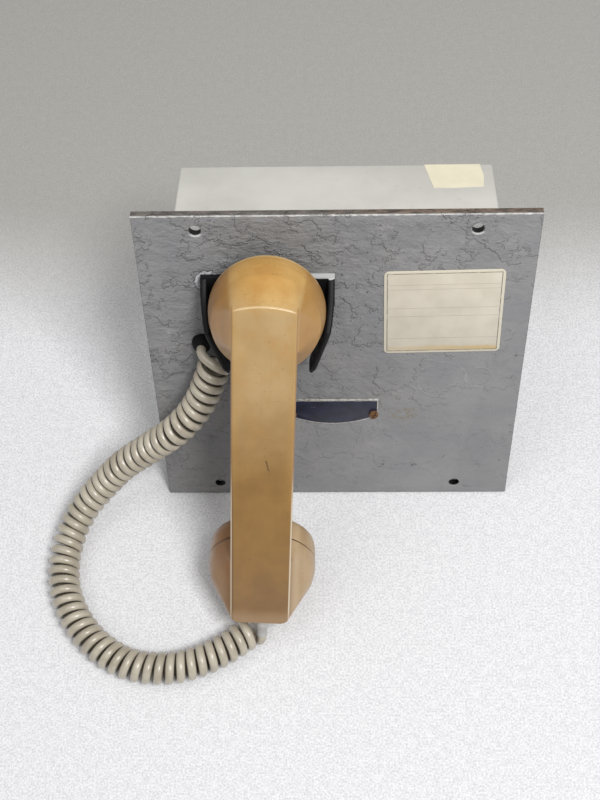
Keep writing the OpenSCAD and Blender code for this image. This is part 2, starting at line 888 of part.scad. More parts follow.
module press_bar_pin() {
    color([0.7, 0.7, 0.7]) in_hand() press_pin_place()
        cylinder(d = bar_pin_d, h = bar_pin_len, center = true);
}

module press_bar_spring() {
    len = grip_face + slot_depth - bar_back;
    color([0.7, 0.7, 0.7]) in_hand() translate([0, -bar_back, -bar_spring_down]) rotate([90, 0, 0])
        tube(bar_spring_d, bar_spring_d - 2 * bar_spring_wire, len);
}

module press_switch() {
    size = press_switch_size - [2 * run, run, 2 * run];
    color([0.15, 0.15, 0.18]) in_hand() difference() {
        press_switch_place() block(size);
        press_switch_place() translate([0, 0, -cut])
            cylinder(d = button_d + 2 * run, h = cut + button_root + button_travel + gap);
    }
}

module press_switch_button() {
    out = grip_face + slot_depth - button_at;
    color([0.6, 0.1, 0.1]) in_hand() press_switch_place() translate([0, 0, -out])
        cylinder(d = button_d, h = out + button_root);
}

// Curly cord: a smooth curve through the axis points carries the helix, and a curved tail joins each end
function unit(v) = v / norm(v);
function square_to(v, way) = unit(v - way * (v * way));
function leaned(p) = [p[0], (p[1] - panel_t) * cos(lean_angle) + p[2] * sin(lean_angle),
    p[2] * cos(lean_angle) - (p[1] - panel_t) * sin(lean_angle)];
function turned_x(p, a) = [p[0], p[1] * cos(a) - p[2] * sin(a), p[1] * sin(a) + p[2] * cos(a)];
function turned_y(p, a) = [p[0] * cos(a) + p[2] * sin(a), p[1], p[2] * cos(a) - p[0] * sin(a)];
function in_hand_point(p) = leaned([-cradle_x, -ear_out, ear_up]
    + turned_x(turned_y(p, hand_swing), -hand_tilt));
function knot(i) = cord_axis[max(0, min(len(cord_axis) - 1, i))];
function spline(a, b, c, d, t) = (2 * b + (c - a) * t + (2 * a - 5 * b + 4 * c - d) * t * t
    + (3 * b - a - 3 * c + d) * t * t * t) / 2;
function bezier(a, b, c, d, t) = pow(1 - t, 3) * a + 3 * pow(1 - t, 2) * t * b + 3 * (1 - t) * t * t * c
    + pow(t, 3) * d;
function steps(v) = [for (i = [1 : len(v) - 1]) norm(v[i] - v[i - 1])];
function running(v) = [for (i = 0, s = 0; i <= len(v); s = s + (i < len(v) ? v[i] : 0), i = i + 1) s];
function span_of(runs, x, i = 0) = i >= len(runs) - 2 || runs[i + 1] > x ? i : span_of(runs, x, i + 1);
function carried(ways, start) = [for (i = 0, s = square_to(start, ways[0]); i < len(ways);
    i = i + 1, s = i < len(ways) ? square_to(s, ways[i]) : s) s];

function axis_curve() = [for (i = [0 : len(cord_axis) - 2]) for (k = [0 : axis_steps - 1])
    spline(knot(i - 1), knot(i), knot(i + 1), knot(i + 2), k / axis_steps), knot(len(cord_axis))];

// Helix points, evenly spaced along the axis curve, starting on the plate's front side of it
function helix(axis, runs, count, front) =
    let (
        last = len(axis) - 1,
        at = [for (j = [0 : count]) runs[last] * j / count],
        span = [for (x = at) span_of(runs, x)],
        place = [for (j = [0 : count]) let (i = span[j])
            axis[i] + (axis[i + 1] - axis[i]) * (at[j] - runs[i]) / (runs[i + 1] - runs[i])],
        way = [for (i = span) unit(axis[min(i + 2, last)] - axis[max(i - 1, 0)])],
        side = carried(way, front))
    [for (j = [0 : count]) let (a = -360 * j / curl_rings)
        place[j] + curl_r * (cos(a) * side[j] + sin(a) * cross(way[j], side[j]))];

// Least distance between points at least half a curl apart, less the cord's diameter
function least_gap(path) = min([for (i = [0 : len(path) - 1]) for (k = [i + curl_rings / 2 : len(path) - 1])
    norm(path[i] - path[k])]) - cord_d;

function cord_path() =
    let (
        front = [0, -cos(lean_angle), sin(lean_angle)],
        axis = axis_curve(),
        curl = helix(axis, running(steps(axis)), curls * curl_rings + last_rings, front),
        last = len(curl) - 1,
        gland = leaned([gland_at[0], -gland_out, gland_at[1]]),
        root = in_hand_point([relief_x, -relief_back, -grip_len]),
        relief = in_hand_point([relief_x, -relief_back, -grip_len - relief_len]),
        down = unit(relief - root),
        from = gland + cord_d * front,
        to = relief + cord_d * down,
        enter = unit(curl[1] - curl[0]),
        leave = unit(curl[last] - curl[last - 1]))
    [gland, for (k = [0 : tail_rings - 1])
        bezier(from, from + tail_pull * front, curl[0] - tail_pull * enter, curl[0], k / tail_rings),
        each curl,
        for (k = [1 : tail_rings])
            bezier(curl[last], curl[last] + tail_pull * leave / 2, to + tail_pull * down / 2, to,
                k / tail_rings),
        relief];

// A closed tube of triangles along a path, its ends square to the path's first and last steps
module swept(path, r) {
    last = len(path) - 1;
    way = [for (i = [0 : last]) i == 0 ? unit(path[1] - path[0])
        : i == last ? unit(path[last] - path[last - 1])
        : unit(unit(path[i + 1] - path[i]) + unit(path[i] - path[i - 1]))];
    side = carried(way, [1, 0, 0]);
    points = [for (i = [0 : last]) for (k = [0 : curl_sides - 1]) let (a = 360 * k / curl_sides)
        path[i] + r * (cos(a) * side[i] + sin(a) * cross(way[i], side[i]))];
    tube_faces = [for (i = [0 : last - 1]) for (k = [0 : curl_sides - 1])
        let (a = i * curl_sides + k, b = i * curl_sides + (k + 1) % curl_sides)
        each [[a, b + curl_sides, b], [a, a + curl_sides, b + curl_sides]]];
    end = last * curl_sides;
    caps = [for (k = [1 : curl_sides - 2]) each [[0, k, k + 1], [end, end + k + 1, end + k]]];
    polyhedron(points, concat(tube_faces, caps));
}

module coil_cord() {
    path = cord_path();
    runs = running(steps(path));
    echo(least_gap = least_gap(path), cord_length = runs[len(runs) - 1]);
    color([0.7, 0.67, 0.6]) translate([0, stand_y, 0]) swept(path, cord_d / 2);
}

front_panel();
rear_box();
box_posts();
box_screws();
cable_grommet();
cradle();
cradle_screws();
rating_plate();
nameplate();
nameplate_screws();
cord_gland();
plunger_bush();
hook_plunger();
plunger_collar();
plunger_spring();
switch_bridge();
bridge_screws();
hook_switch();
switch_screws();
switch_lever();
circuit_board();
board_posts();
board_screws();
terminal_block();
terminal_screws();
smoothing_capacitors();
heat_sink();
output_transistors();
volume_control();
volume_shaft();
fuse_clips();
fuse();
transformer_core();
transformer_winding();
transformer_screws();
handset_shell();
ear_cap();
receiver_capsule();
mouth_cap();
transmitter_capsule();
cord_relief();
press_bar();
press_bar_pin();
press_bar_spring();
press_switch();
press_switch_button();
coil_cord();
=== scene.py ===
"""Flush-panel handset station, dressed round its CAD frame: painted plate and box, moulded cradle,
aged handset, curly cord."""
import math

import bmesh
import bpy
from mathutils import Matrix, Vector


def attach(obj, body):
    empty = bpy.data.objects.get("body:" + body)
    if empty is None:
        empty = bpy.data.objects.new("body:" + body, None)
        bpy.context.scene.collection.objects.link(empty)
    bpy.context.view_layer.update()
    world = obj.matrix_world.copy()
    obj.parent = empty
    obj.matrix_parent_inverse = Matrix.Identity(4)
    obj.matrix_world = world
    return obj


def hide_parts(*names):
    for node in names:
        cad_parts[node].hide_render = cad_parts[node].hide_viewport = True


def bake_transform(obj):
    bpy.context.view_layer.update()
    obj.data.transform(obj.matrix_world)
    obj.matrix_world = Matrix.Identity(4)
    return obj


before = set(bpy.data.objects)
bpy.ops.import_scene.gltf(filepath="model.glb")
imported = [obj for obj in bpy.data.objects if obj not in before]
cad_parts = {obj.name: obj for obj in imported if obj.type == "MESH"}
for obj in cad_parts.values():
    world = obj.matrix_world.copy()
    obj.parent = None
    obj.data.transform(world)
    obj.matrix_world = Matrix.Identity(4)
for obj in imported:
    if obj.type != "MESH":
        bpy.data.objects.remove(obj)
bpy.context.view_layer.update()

MM = 0.001
ROW = Matrix.Scale(MM, 4)

# Sizes and places, in millimetres, as the CAD source has them
PLATE_W, PLATE_H, PLATE_T = 215.9, 222.2, 4.8
HOLE_DX, HOLE_EDGE = 149.2, 9.5
BOX_SIDE, BOX_LOW, BOX_TOP = 89.8, 22.2, 200
BOX_DEPTH, BOX_REAR = 71.5, 76.3
STAND_Y = -13.455
LEAN = math.degrees(math.atan2(BOX_LOW, BOX_DEPTH))
CRADLE_X, CRADLE_TOP, CRADLE_W, CRADLE_PLATE = 37.4, 183, 73.2, 3.5
HAND_TILT, HAND_SWING = 14.5, 2.7
EAR_OUT, EAR_UP, EAR_R, EAR_SEAT = 22, 173.6, 31.8, 2
GRIP_W, GRIP_BACK, GRIP_FACE, GRIP_LEN, GRIP_EDGE = 35, 31.5, 8, 189, 1.2
GRIP_CREASE, CREASE_ARC = 19.6, 2.6
MOUTH_R, MOUTH_DROP, MOUTH_TILT, MOUTH_SEAT = 32, 165, 23, -2
RATING_AT, RATING_TURN = (59.5, 154.5), 1.2
RATING_W, RATING_H = 66, 60.5
NAME_AT = (-2.3, 72)
NAME_W, NAME_H, NAME_SAG = 54.6, 14, 7.2

# Marks, across and up: on the plate, where a ring has its radius too, and on the handle; the label's rules
FLAKED_AT, BROWN_SCUFF_AT = (-70, 178), (41, 73)
PAINTED_OVER = ((62, 101, 14.5), (83, 103, 8))
HANDLE_MARK_AT = (1.3, -70.7)
RATING_RULES = (20.5, 17.2, 3.6, -2.4, -19)


# Frames, in millimetres
def turn(axis, degrees):
    return Matrix.Rotation(math.radians(degrees), 4, axis)


def move(x, y, z):
    return Matrix.Translation((x, y, z))


PLATE = move(0, STAND_Y, 0) @ turn("X", -LEAN) @ move(0, -PLATE_T, 0)
HAND = PLATE @ move(-CRADLE_X, -EAR_OUT, EAR_UP) @ turn("X", -HAND_TILT) @ turn("Y", HAND_SWING)
EAR = HAND @ move(0, EAR_SEAT, 0) @ turn("X", -90)
MOUTH = HAND @ move(0, MOUTH_SEAT, -MOUTH_DROP) @ turn("X", MOUTH_TILT) @ turn("X", -90)


def on_front(x, up, out=0):
    """Frame on the plate's front: X right, Y up, Z outwards."""
    return PLATE @ move(x, -out, up) @ turn("X", 90)


def on_box_rear(x, up, y):
    """Frame behind the plate: Z to the rear."""
    return PLATE @ move(x, y, up) @ turn("Y", 180) @ turn("X", -90)


# Camera of the photograph: focal length in its pixels, place in millimetres
PHOTO_H, FOCAL = 800, 1268
SENSOR_H, FAR_CLIP = 32, 50
CAMERA_RIGHT = Vector((0.999635, 0.0075843, -0.0259296))
CAMERA_UP = Vector((0.005114, 0.8893114, 0.4572736))
CAMERA_BACK = Vector((0.0265276, -0.4572393, 0.888948))
CAMERA_AT = Vector((-1.7715, -339.6034, 756.778))


def make_camera():
    lens = bpy.data.cameras.new("camera")
    lens.sensor_fit = "VERTICAL"
    lens.sensor_height = SENSOR_H
    lens.lens = SENSOR_H * FOCAL / PHOTO_H
    lens.clip_end = FAR_CLIP
    holder = bpy.data.objects.new("camera", lens)
    pose = Matrix((CAMERA_RIGHT, CAMERA_UP, CAMERA_BACK)).transposed().to_4x4()
    pose.translation = CAMERA_AT * MM
    holder.matrix_world = pose
    bpy.context.scene.collection.objects.link(holder)
    bpy.context.scene.camera = holder


make_camera()


# Shader maths
class Val:
    """A shader socket that takes part in Python arithmetic."""

    def __init__(self, finish, socket):
        self.finish, self.socket = finish, socket

    def maths(self, operation, *others):
        return self.finish.node("ShaderNodeMath", {"operation": operation}, self, *others)

    def __add__(self, other):
        return self.maths("ADD", other)

    __radd__ = __add__

    def __sub__(self, other):
        return self.maths("SUBTRACT", other)

    def __rsub__(self, other):
        return self.finish.node("ShaderNodeMath", {"operation": "SUBTRACT"}, other, self)

    def __mul__(self, other):
        return self.maths("MULTIPLY", other)

    __rmul__ = __mul__

    def __truediv__(self, other):
        return self.maths("DIVIDE", other)

    def __abs__(self):
        return self.maths("ABSOLUTE")

    def least(self, other):
        return self.maths("MINIMUM", other)

    def most(self, other):
        return self.maths("MAXIMUM", other)

    def power(self, other):
        return self.maths("POWER", other)

    def ramp(self, low, high, start=0.0, end=1.0):
        """Smooth step from start to end as the value goes from low to high."""
        return self.finish.node("ShaderNodeMapRange", {"interpolation_type": "SMOOTHSTEP"},
                                self, low, high, start, end)


class Finish:
    """A procedural material on one Principled shader."""

    def __init__(self, name, **sockets):
        self.material = bpy.data.materials.new(name)
        self.material.use_nodes = True
        self.tree = self.material.node_tree
        self.tree.nodes.clear()
        output = self.tree.nodes.new("ShaderNodeOutputMaterial")
        self.shader = self.tree.nodes.new("ShaderNodeBsdfPrincipled")
        self.tree.links.new(self.shader.outputs[0], output.inputs[0])
        self.set(**sockets)

    def put(self, socket, value):
        if isinstance(value, Val):
            self.tree.links.new(value.socket, socket)
        else:
            socket.default_value = value

    def set(self, **sockets):
        for name, value in sockets.items():
            self.put(self.shader.inputs[name.replace("_", " ")], value)
        return self

    def node(self, kind, settings=None, *values, out=0, **named):
        made = self.tree.nodes.new(kind)
        for name, value in (settings or {}).items():
            setattr(made, name, value)
        for socket, value in zip(made.inputs, values):
            self.put(socket, value)
        for name, value in named.items():
            self.put(made.inputs[name.replace("_", " ")], value)
        return Val(self, made.outputs[out])

    def place(self, frame_mm=None):
        """Millimetre coordinates in a frame, moving with the piece."""
        back = (frame_mm or Matrix.Identity(4)).inverted()
        return self.node("ShaderNodeMapping", {"vector_type": "POINT"},
                         self.node("ShaderNodeTexCoord", out=3),
                         Location=back.translation, Rotation=back.to_euler(), Scale=(1 / MM,) * 3)

    def axis(self, vector, index):
        return self.node("ShaderNodeSeparateXYZ", None, vector, out=index)

    def axes(self, vector):
        return [self.axis(vector, index) for index in range(3)]

    def stretch(self, vector, x=1.0, y=1.0, z=1.0):
        return self.node("ShaderNodeVectorMath", {"operation": "MULTIPLY"}, vector, (x, y, z))

    def shift(self, vector, x=0.0, y=0.0, z=0.0):
        return self.node("ShaderNodeVectorMath", {"operation": "ADD"}, vector, (x, y, z))

    def noise(self, vector, size, detail=3.0, rough=0.55):
        """Noise about 0.5 with features of a size in millimetres."""
        return self.node("ShaderNodeTexNoise", None, Vector=vector, Scale=1 / size, Detail=detail,
                         Roughness=rough)

    def warped(self, vector, size, amount):
        """Coordinates that wander by an amount in millimetres."""
        wander = self.node("ShaderNodeTexNoise", None, Vector=vector, Scale=1 / size, Detail=3.0, out=1)
        return self.node("ShaderNodeVectorMath", {"operation": "MULTIPLY_ADD"},
                         wander, (amount,) * 3, vector)

    def ring_about(self, vector, x, z):
        """Distance from a line along the frame's Y."""
        flat = self.stretch(self.shift(vector, -x, 0, -z), 1, 0, 1)
        return self.node("ShaderNodeVectorMath", {"operation": "LENGTH"}, flat, out=1)

    def cells(self, vector, size, feature="F1"):
        return self.node("ShaderNodeTexVoronoi", {"feature": feature}, Vector=vector, Scale=1 / size)

    def mix(self, below, above, factor):
        made = self.tree.nodes.new("ShaderNodeMix")
        made.data_type = "RGBA"
        for index, value in ((0, factor), (6, below), (7, above)):
            self.put(made.inputs[index], value)
        return Val(self, made.outputs[2])

    def bump(self, height, distance):
        """Normal of a relief whose full height is a distance in millimetres."""
        return self.node("ShaderNodeBump", None, Strength=1.0, Distance=distance * MM, Height=height)


def rgb(red, green, blue):
    """Linear colour of a display colour from 0 to 255."""
    def linear(c):
        c /= 255
        return c / 12.92 if c <= 0.04045 else ((c + 0.055) / 1.055) ** 2.4
    return (linear(red), linear(green), linear(blue), 1.0)


# Finishes
def plain_finish(name, colour, roughness, metallic=0.0, grain=0.0, size=1.5, spread=0.25, **sockets):
    """A finish with a soft mottle and a fine grain, for small and hidden pieces."""
    f = Finish(name, **sockets)
    at = f.place()
    mottle = f.noise(at, size * 6, 4)
    dark = tuple(c * (1 - spread) for c in colour[:3]) + (1,)
    f.set(Base_Color=f.mix(dark, colour, mottle.ramp(0.35, 0.65)),
          Roughness=roughness + 0.12 * (mottle - 0.5), Metallic=metallic)
    if grain:
        f.set(Normal=f.bump(f.noise(at, size, 3), grain))
    return f.material


def plate_cracks(f, at):
    """Short dark cracks and nicks, in patches."""
    where = f.noise(f.shift(at, 5, 0, 40), 26, 3).ramp(0.53, 0.66)
    cracks = f.cells(f.stretch(f.warped(at, 6, 14), 0.75, 1, 1.3), 19, "DISTANCE_TO_EDGE")
    cracks = cracks.ramp(0.004, 0.02, 1, 0) * where * f.noise(at, 5, 3).ramp(0.55, 0.6)
    nicks = f.noise(f.stretch(f.warped(at, 3, 3), 0.3, 1, 1.3), 1.6, 4).ramp(0.68, 0.72) * where
    return cracks, nicks


def plate_chips(f, at, coat, ragged):
    """Chips along the front edges: dark at the sides and foot, bright at the top."""
    x, y, z = f.axes(at)
    sides = (PLATE_W / 2 - abs(x)).least(z)
    side_chips = (sides + y + 2.2 * ragged).ramp(1.2, 1.5, 1, 0)
    coat = f.mix(coat, rgb(92, 90, 88), side_chips * 0.6)
    top_chips = (PLATE_H - z + y + 1.8 * ragged).ramp(1.2, 1.6, 1, 0)
    return f.mix(coat, rgb(206, 204, 200), top_chips * f.noise(at, 9, 3).ramp(0.35, 0.5, 0.35, 0.95))


def plate_marks(f, at, coat):
    """A flaked spot by the cradle and a brown scuff by the nameplate."""
    flaked = f.ring_about(at, *FLAKED_AT) + 5 * f.noise(at, 3, 5)
    rim = flaked.ramp(9.4, 10, 1, 0) * flaked.ramp(6, 6.8)
    coat = f.mix(coat, rgb(190, 191, 195), rim * f.noise(at, 1.8, 4).ramp(0.42, 0.55, 0.1, 0.9))
    coat = f.mix(coat, rgb(52, 52, 56), abs(flaked - 10).ramp(0.15, 0.5, 0.8, 0))
    across, up = BROWN_SCUFF_AT
    widen = 0.55
    scuffed = f.ring_about(f.stretch(at, widen, 1, 1), widen * across, up).ramp(2, 8, 1, 0)
    scuffed = scuffed * f.noise(f.warped(at, 3, 3), 2.6, 5, 0.65).ramp(0.5, 0.62)
    return f.mix(coat, rgb(122, 110, 88), scuffed * 0.8)


def plate_holes(f, at, coat, ragged):
    """Pale rims below the wall-screw holes, part bare metal and part painted highlight, most on the upper
    pair, and bores painted black as shade.
    """
    y, z = f.axis(at, 1), f.axis(at, 2)
    for side in (-1, 1):
        for up in (HOLE_EDGE, PLATE_H - HOLE_EDGE):
            bore = f.ring_about(at, side * HOLE_DX / 2, up)
            below = (z - up).ramp(-3, -1.5, 1, 0)
            rim = below * (bore + 0.6 * ragged).ramp(4.3, 4.7, 0.8 * up / PLATE_H, 0)
            # Pale rim below each hole: bare metal and painted highlight
            coat = f.mix(coat, rgb(204, 203, 201), rim * y.ramp(0.4, 0.8, 1, 0))
            # Painted shade: the bore's wall made black
            coat = f.mix(coat, rgb(3, 3, 3), bore.ramp(3.4, 3.9, 1, 0) * y.ramp(0.5, 0.9))
    return coat


def plate_rust(f, at, coat, broad):
    """Rust along the plate's top edge, browner to the right."""
    x, y, z = f.axes(at)
    top_edge = (z - PLATE_H + 0.15).ramp(-0.1, 0.05) * y.ramp(0.7, 1.2)
    drawn = f.stretch(at, 0.4, 1, 1)
    rust = f.mix(rgb(70, 64, 57), rgb(116, 108, 100), f.noise(drawn, 3, 5).ramp(0.35, 0.65))
    brown = f.mix(rgb(66, 50, 38), rgb(120, 100, 82), f.noise(drawn, 2.4, 5).ramp(0.35, 0.65))
    rust = f.mix(rust, brown, (x + 60 * broad).ramp(10, 60))
    return f.mix(coat, rust, top_edge * 0.85)


def painted_rings(f, at, ragged):
    """Faint rings that older paint leaves under the newest coat."""
    rings = 0
    for across, up, radius in PAINTED_OVER:
        off = f.ring_about(at, across, up) + ragged - 0.5 - radius
        rings = rings + abs(off).ramp(0.2, 0.9, 1, 0)
    return rings


def plate_paint():
    """Thick grey paint, wrinkled most at the upper left."""
    f = Finish("plate_paint")
    at = f.place(PLATE)
    x, z = f.axis(at, 0), f.axis(at, 2)
    broad = f.noise(at, 34, 5, 0.6)
    fine = f.noise(at, 0.9, 4)
    ragged = f.noise(at, 3.2, 5)
    wrinkled = (z - 0.9 * x + 160 * broad).ramp(60, 270, 0.25, 1)
    relief = f.noise(f.stretch(f.warped(at, 9, 5), 0.55, 1, 1), 5.5, 6, 0.62)
    layers = f.noise(f.shift(at, 61, 0, 17), 21, 6, 0.6).ramp(0.52, 0.55)
    coat = f.mix(rgb(127, 127, 129), rgb(136, 135, 135), broad.ramp(0.35, 0.65))
    coat = f.mix(coat, rgb(106, 106, 109), relief.ramp(0.44, 0.3) * wrinkled * 0.45)
    coat = f.mix(coat, rgb(160, 159, 157), relief.ramp(0.58, 0.74) * wrinkled * 0.45)
    coat = f.mix(coat, rgb(160, 159, 157), fine.ramp(0.56, 0.74) * 0.3)
    cracks, nicks = plate_cracks(f, at)
    coat = f.mix(coat, rgb(62, 61, 64), (cracks * 0.7).most(nicks * 0.9))
    coat = plate_chips(f, at, coat, ragged)
    coat = plate_marks(f, at, coat)
    coat = plate_holes(f, at, coat, ragged)
    coat = plate_rust(f, at, coat, broad)
    rings = painted_rings(f, at, ragged)
    coat = f.mix(coat, rgb(158, 158, 157), 0.3 * rings * f.noise(at, 6, 3).ramp(0.45, 0.6))
    height = wrinkled * (relief + 0.3 * layers) + 0.08 * fine + 0.06 * rings - 0.25 * cracks.most(nicks)
    f.set(Base_Color=coat, Roughness=0.36 + 0.25 * fine, Normal=f.bump(height, 2.2))
    return f.material


def box_paint():
    """Pale enamel with a slight orange peel, smudges and a few scratches; painted light makes it palest on
    top by the plate.
    """
    f = Finish("box_paint")
    at = f.place(PLATE)
    coat = f.mix(rgb(193, 191, 184), rgb(206, 204, 197), f.noise(at, 38, 4).ramp(0.3, 0.7))
    smudge = f.noise(f.stretch(at, 1, 1, 0.5), 11, 6, 0.65).ramp(0.6, 0.78)
    coat = f.mix(coat, rgb(166, 162, 153), smudge * 0.4)
    lines = f.noise(f.stretch(at, 0.07, 1, 0.9), 0.9, 2).ramp(0.72, 0.75)
    coat = f.mix(coat, rgb(132, 129, 122), lines * f.noise(at, 30, 2).ramp(0.5, 0.62) * 0.6)
    # Painted light: the box's top just behind the plate is made near white, as if brightly lit
    painted_light_on_top = f.axis(at, 2).ramp(BOX_TOP - 1, BOX_TOP - 0.2)
    coat = f.mix(coat, rgb(246, 245, 242), f.axis(at, 1).ramp(30, 16) * painted_light_on_top)
    f.set(Base_Color=coat, Roughness=0.38 + 0.3 * smudge, Normal=f.bump(f.noise(at, 1.6, 3), 0.06))
    return f.material


def handset_tones(f, at, cloud):
    """Ochre round the ear end, paler at the handle's top, brown at its lower end, a pale mouth cup; painted
    shade on the left and the dome's sides, a painted highlight on the cup's right.
    """
    x, y, z = f.axes(at)
    mottle = cloud.ramp(0.3, 0.7)
    ochre = f.mix(rgb(185, 140, 71), rgb(201, 161, 95), mottle)
    pale = f.mix(rgb(167, 137, 90), rgb(179, 151, 106), mottle)
    tan = f.mix(rgb(127, 92, 39), rgb(139, 103, 46), mottle)
    brown = f.mix(rgb(119, 87, 46), rgb(131, 99, 56), mottle)
    # Darker brown for painted shade on the dome's sides, which face away from the light
    side = f.mix(rgb(156, 111, 46), rgb(170, 126, 60), mottle)
    cup = f.mix(rgb(158, 128, 89), rgb(174, 146, 107), mottle)
    down = z + 8 * cloud - 4
    tone = f.mix(ochre, pale, down.ramp(27, 14))
    tone = f.mix(tone, tan, down.ramp(-10, -100))
    tone = f.mix(tone, brown, down.ramp(-125, -178, 0, 0.9) * y.ramp(-22, -28))
    # Painted shade beside the handle and on the dome's sides above it
    shade_beside = y.ramp(-31, -29) * z.ramp(18, 15)
    above = (abs(x) - 0.35 * z).ramp(10.5, 14) * z.ramp(15, 18) * z.ramp(34, 20, 0.2, 1)
    tone = f.mix(tone, side, (shade_beside + above) * z.ramp(-132, -120) * 0.9)
    low = z.ramp(-120, -132)
    tone = f.mix(tone, cup, y.ramp(-30, -24) * low)
    # Painted shade: the left side, away from the light, made darker brown
    tone = f.mix(tone, rgb(132, 84, 28), x.ramp(-15, -24, 0, 0.35) * z.ramp(-110, -90))
    # Painted shade on the mouth cup's left side
    shaded_cup_left = x.ramp(-14, -20) * (z + 0.5 * x).ramp(-172, -158, 0.6, 0.9) * low
    tone = f.mix(tone, rgb(128, 80, 26), shaded_cup_left)
    # Painted highlight: a pale band on the mouth cup's right, beside the handle
    cup_right_highlight = abs(x - 20).ramp(0.5, 4, 0.45, 0) * low
    return f.mix(tone, rgb(204, 180, 146), cup_right_highlight)


def handset_wear(f, at, tone, streaks):
    """Streaks and patches, a painted highlight along the rim and scratches at the ear end, specks and
    scuffs.
    """
    y, z = f.axis(at, 1), f.axis(at, 2)
    tone = f.mix(tone, rgb(140, 98, 52), streaks.ramp(0.62, 0.8) * 0.12)
    patches = f.noise(f.shift(f.stretch(at, 1, 1, 0.6), 30, 0, 7), 15, 4).ramp(0.48, 0.68)
    tone = f.mix(tone, rgb(176, 126, 58), patches * z.ramp(40, -90, 0.5, 0.1))
    # Painted highlight along the ear end's rim
    tone = f.mix(tone, rgb(232, 204, 150), y.ramp(2.5, 5.5) * z.ramp(8, 22, 0, 0.6))
    scratched = f.noise(f.stretch(at, 1, 1, 0.12), 0.7, 3).ramp(0.6, 0.72)
    scratched = scratched * z.ramp(18, 21) * z.ramp(30, 23)
    tone = f.mix(tone, rgb(222, 186, 128), scratched * 0.5)
    specks = f.cells(at, 2.9).ramp(0.07, 0.12, 1, 0) * f.noise(at, 9, 2).ramp(0.45, 0.57)
    tone = f.mix(tone, rgb(92, 66, 40), specks * 0.8)
    scuffs = f.noise(f.stretch(f.warped(at, 4, 2), 1, 1, 0.25), 0.8, 3).ramp(0.7, 0.74)
    return f.mix(tone, rgb(104, 74, 44), scuffs * f.noise(at, 19, 2).ramp(0.54, 0.62) * 0.8)


def handle_mark(f, at):
    """A dark scratch on the handle's back, with fine ones round it."""
    x, y, z = f.axes(at)
    across, up = HANDLE_MARK_AT
    line = x - across + 0.25 * (z - up) + 1.6 * (f.noise(at, 2.2, 3) - 0.5)
    mark = abs(line).ramp(0.15, 0.5, 1, 0)
    mark = mark * abs(z - up + 6).ramp(5, 7, 1, 0) * f.noise(at, 1.7, 3).ramp(0.42, 0.52)
    lengthen = 0.4
    near = f.ring_about(f.stretch(at, 1, 1, lengthen), across, lengthen * up).ramp(3, 12, 1, 0)
    fine = f.noise(f.stretch(at, 1, 1, 0.5), 0.9, 3).ramp(0.66, 0.72)
    return mark.most(fine * near * 0.7) * y.ramp(-29, -30)


def handle_edges(f, at, tone):
    """Edges with painted shade in brown above and a painted pale highlight below, painted shade in the
    mouth cup's seam, a painted highlight on the crease over the ear end.
    """
    x, y, z = f.axes(at)
    half = GRIP_W / 2
    band = abs(x).ramp(12, 16.5) * y.ramp(-29, -31) * z.ramp(-130, -60, 0, 0.3)
    tone = f.mix(tone, rgb(172, 130, 62), band)
    edge = abs(abs(x) - half + 0.5).ramp(0.15, 0.6, 1, 0) * (y + GRIP_BACK - 3).ramp(0, 1, 1, 0)
    # Painted shade: darker brown on the upper edges, against the light they catch
    tone = f.mix(tone, rgb(138, 94, 46), edge * z.ramp(-110, -85, 0, 0.55))
    # Painted highlight: pale on the lower edges
    tone = f.mix(tone, rgb(222, 208, 184), edge * z.ramp(-75, -110, 0, 0.75))
    left_line = abs(x + half - 1.5).ramp(0.12, 0.4, 1, 0) * z.ramp(-60, -120) * 0.7
    tone = f.mix(tone, rgb(84, 62, 40), left_line)
    tone = f.mix(tone, rgb(160, 132, 102), z.ramp(-178, -187, 0, 0.5))
    # Painted shade in the gap at the mouth cup's seam
    off_seam = abs(f.axis(f.place(MOUTH), 2) + 0.2)
    tone = f.mix(tone, rgb(58, 38, 22), off_seam.ramp(0.4, 0.85, 0.95, 0) * z.ramp(-133, -135))
    # Painted highlight along the crease over the ear end
    off_crease = abs(z - GRIP_CREASE + CREASE_ARC * (x / (half - GRIP_EDGE)).power(2))
    crease_highlight = off_crease.ramp(0.2, 0.6, 1, 0) * y.ramp(-29, -30.5) * abs(x).ramp(17, 13)
    return f.mix(tone, rgb(240, 222, 184), crease_highlight * 0.3)


def aged_handset():
    """Yellowed plastic with a slight gloss, streaked along the handle."""
    f = Finish("aged_handset", Coat_Roughness=0.2)
    at = f.place(HAND)
    streaks = f.noise(f.stretch(at, 1, 1, 0.05), 2.6, 4, 0.55)
    cloud = f.noise(at, 24, 5)
    fine = f.noise(at, 0.8, 4)
    tone = handset_tones(f, at, cloud)
    tone = handset_wear(f, at, tone, streaks)
    tone = f.mix(tone, rgb(72, 48, 28), handle_mark(f, at) * 0.9)
    tone = handle_edges(f, at, tone)
    f.set(Base_Color=tone, Roughness=0.28 + 0.2 * fine + 0.1 * streaks, Coat_Weight=0.3 + 0.2 * cloud,
          Normal=f.bump(0.6 * fine + 0.4 * streaks, 0.04))
    return f.material


# Name of the cord mesh's own measure of how far a point faces the next curl, from 0 to 1, which sets the
# painted shade between the curls
CURL_SHADE = "curl_shade"


def cord_jacket():
    """Soft beige jacket with a slight gloss, grey handling marks and painted shade between the curls."""
    f = Finish("cord_jacket", Coat_Roughness=0.25)
    at = f.place()
    grime = f.noise(at, 12, 5, 0.6)
    coat = f.mix(rgb(160, 151, 134), rgb(181, 173, 156), grime.ramp(0.32, 0.66))
    coat = f.mix(coat, rgb(140, 130, 113), f.noise(at, 2.2, 4).ramp(0.6, 0.78) * 0.5)
    gap_shade = f.node("ShaderNodeAttribute", {"attribute_name": CURL_SHADE}, out=2)
    # Painted shade where the jacket faces the next curl
    coat = f.mix(coat, rgb(40, 34, 27), gap_shade.ramp(0.82, 0.99) * 0.95)
    f.set(Base_Color=coat, Roughness=0.26 + 0.2 * grime, Coat_Weight=0.4 + 0.3 * grime,
          Normal=f.bump(f.noise(at, 0.6, 2), 0.02))
    return f.material


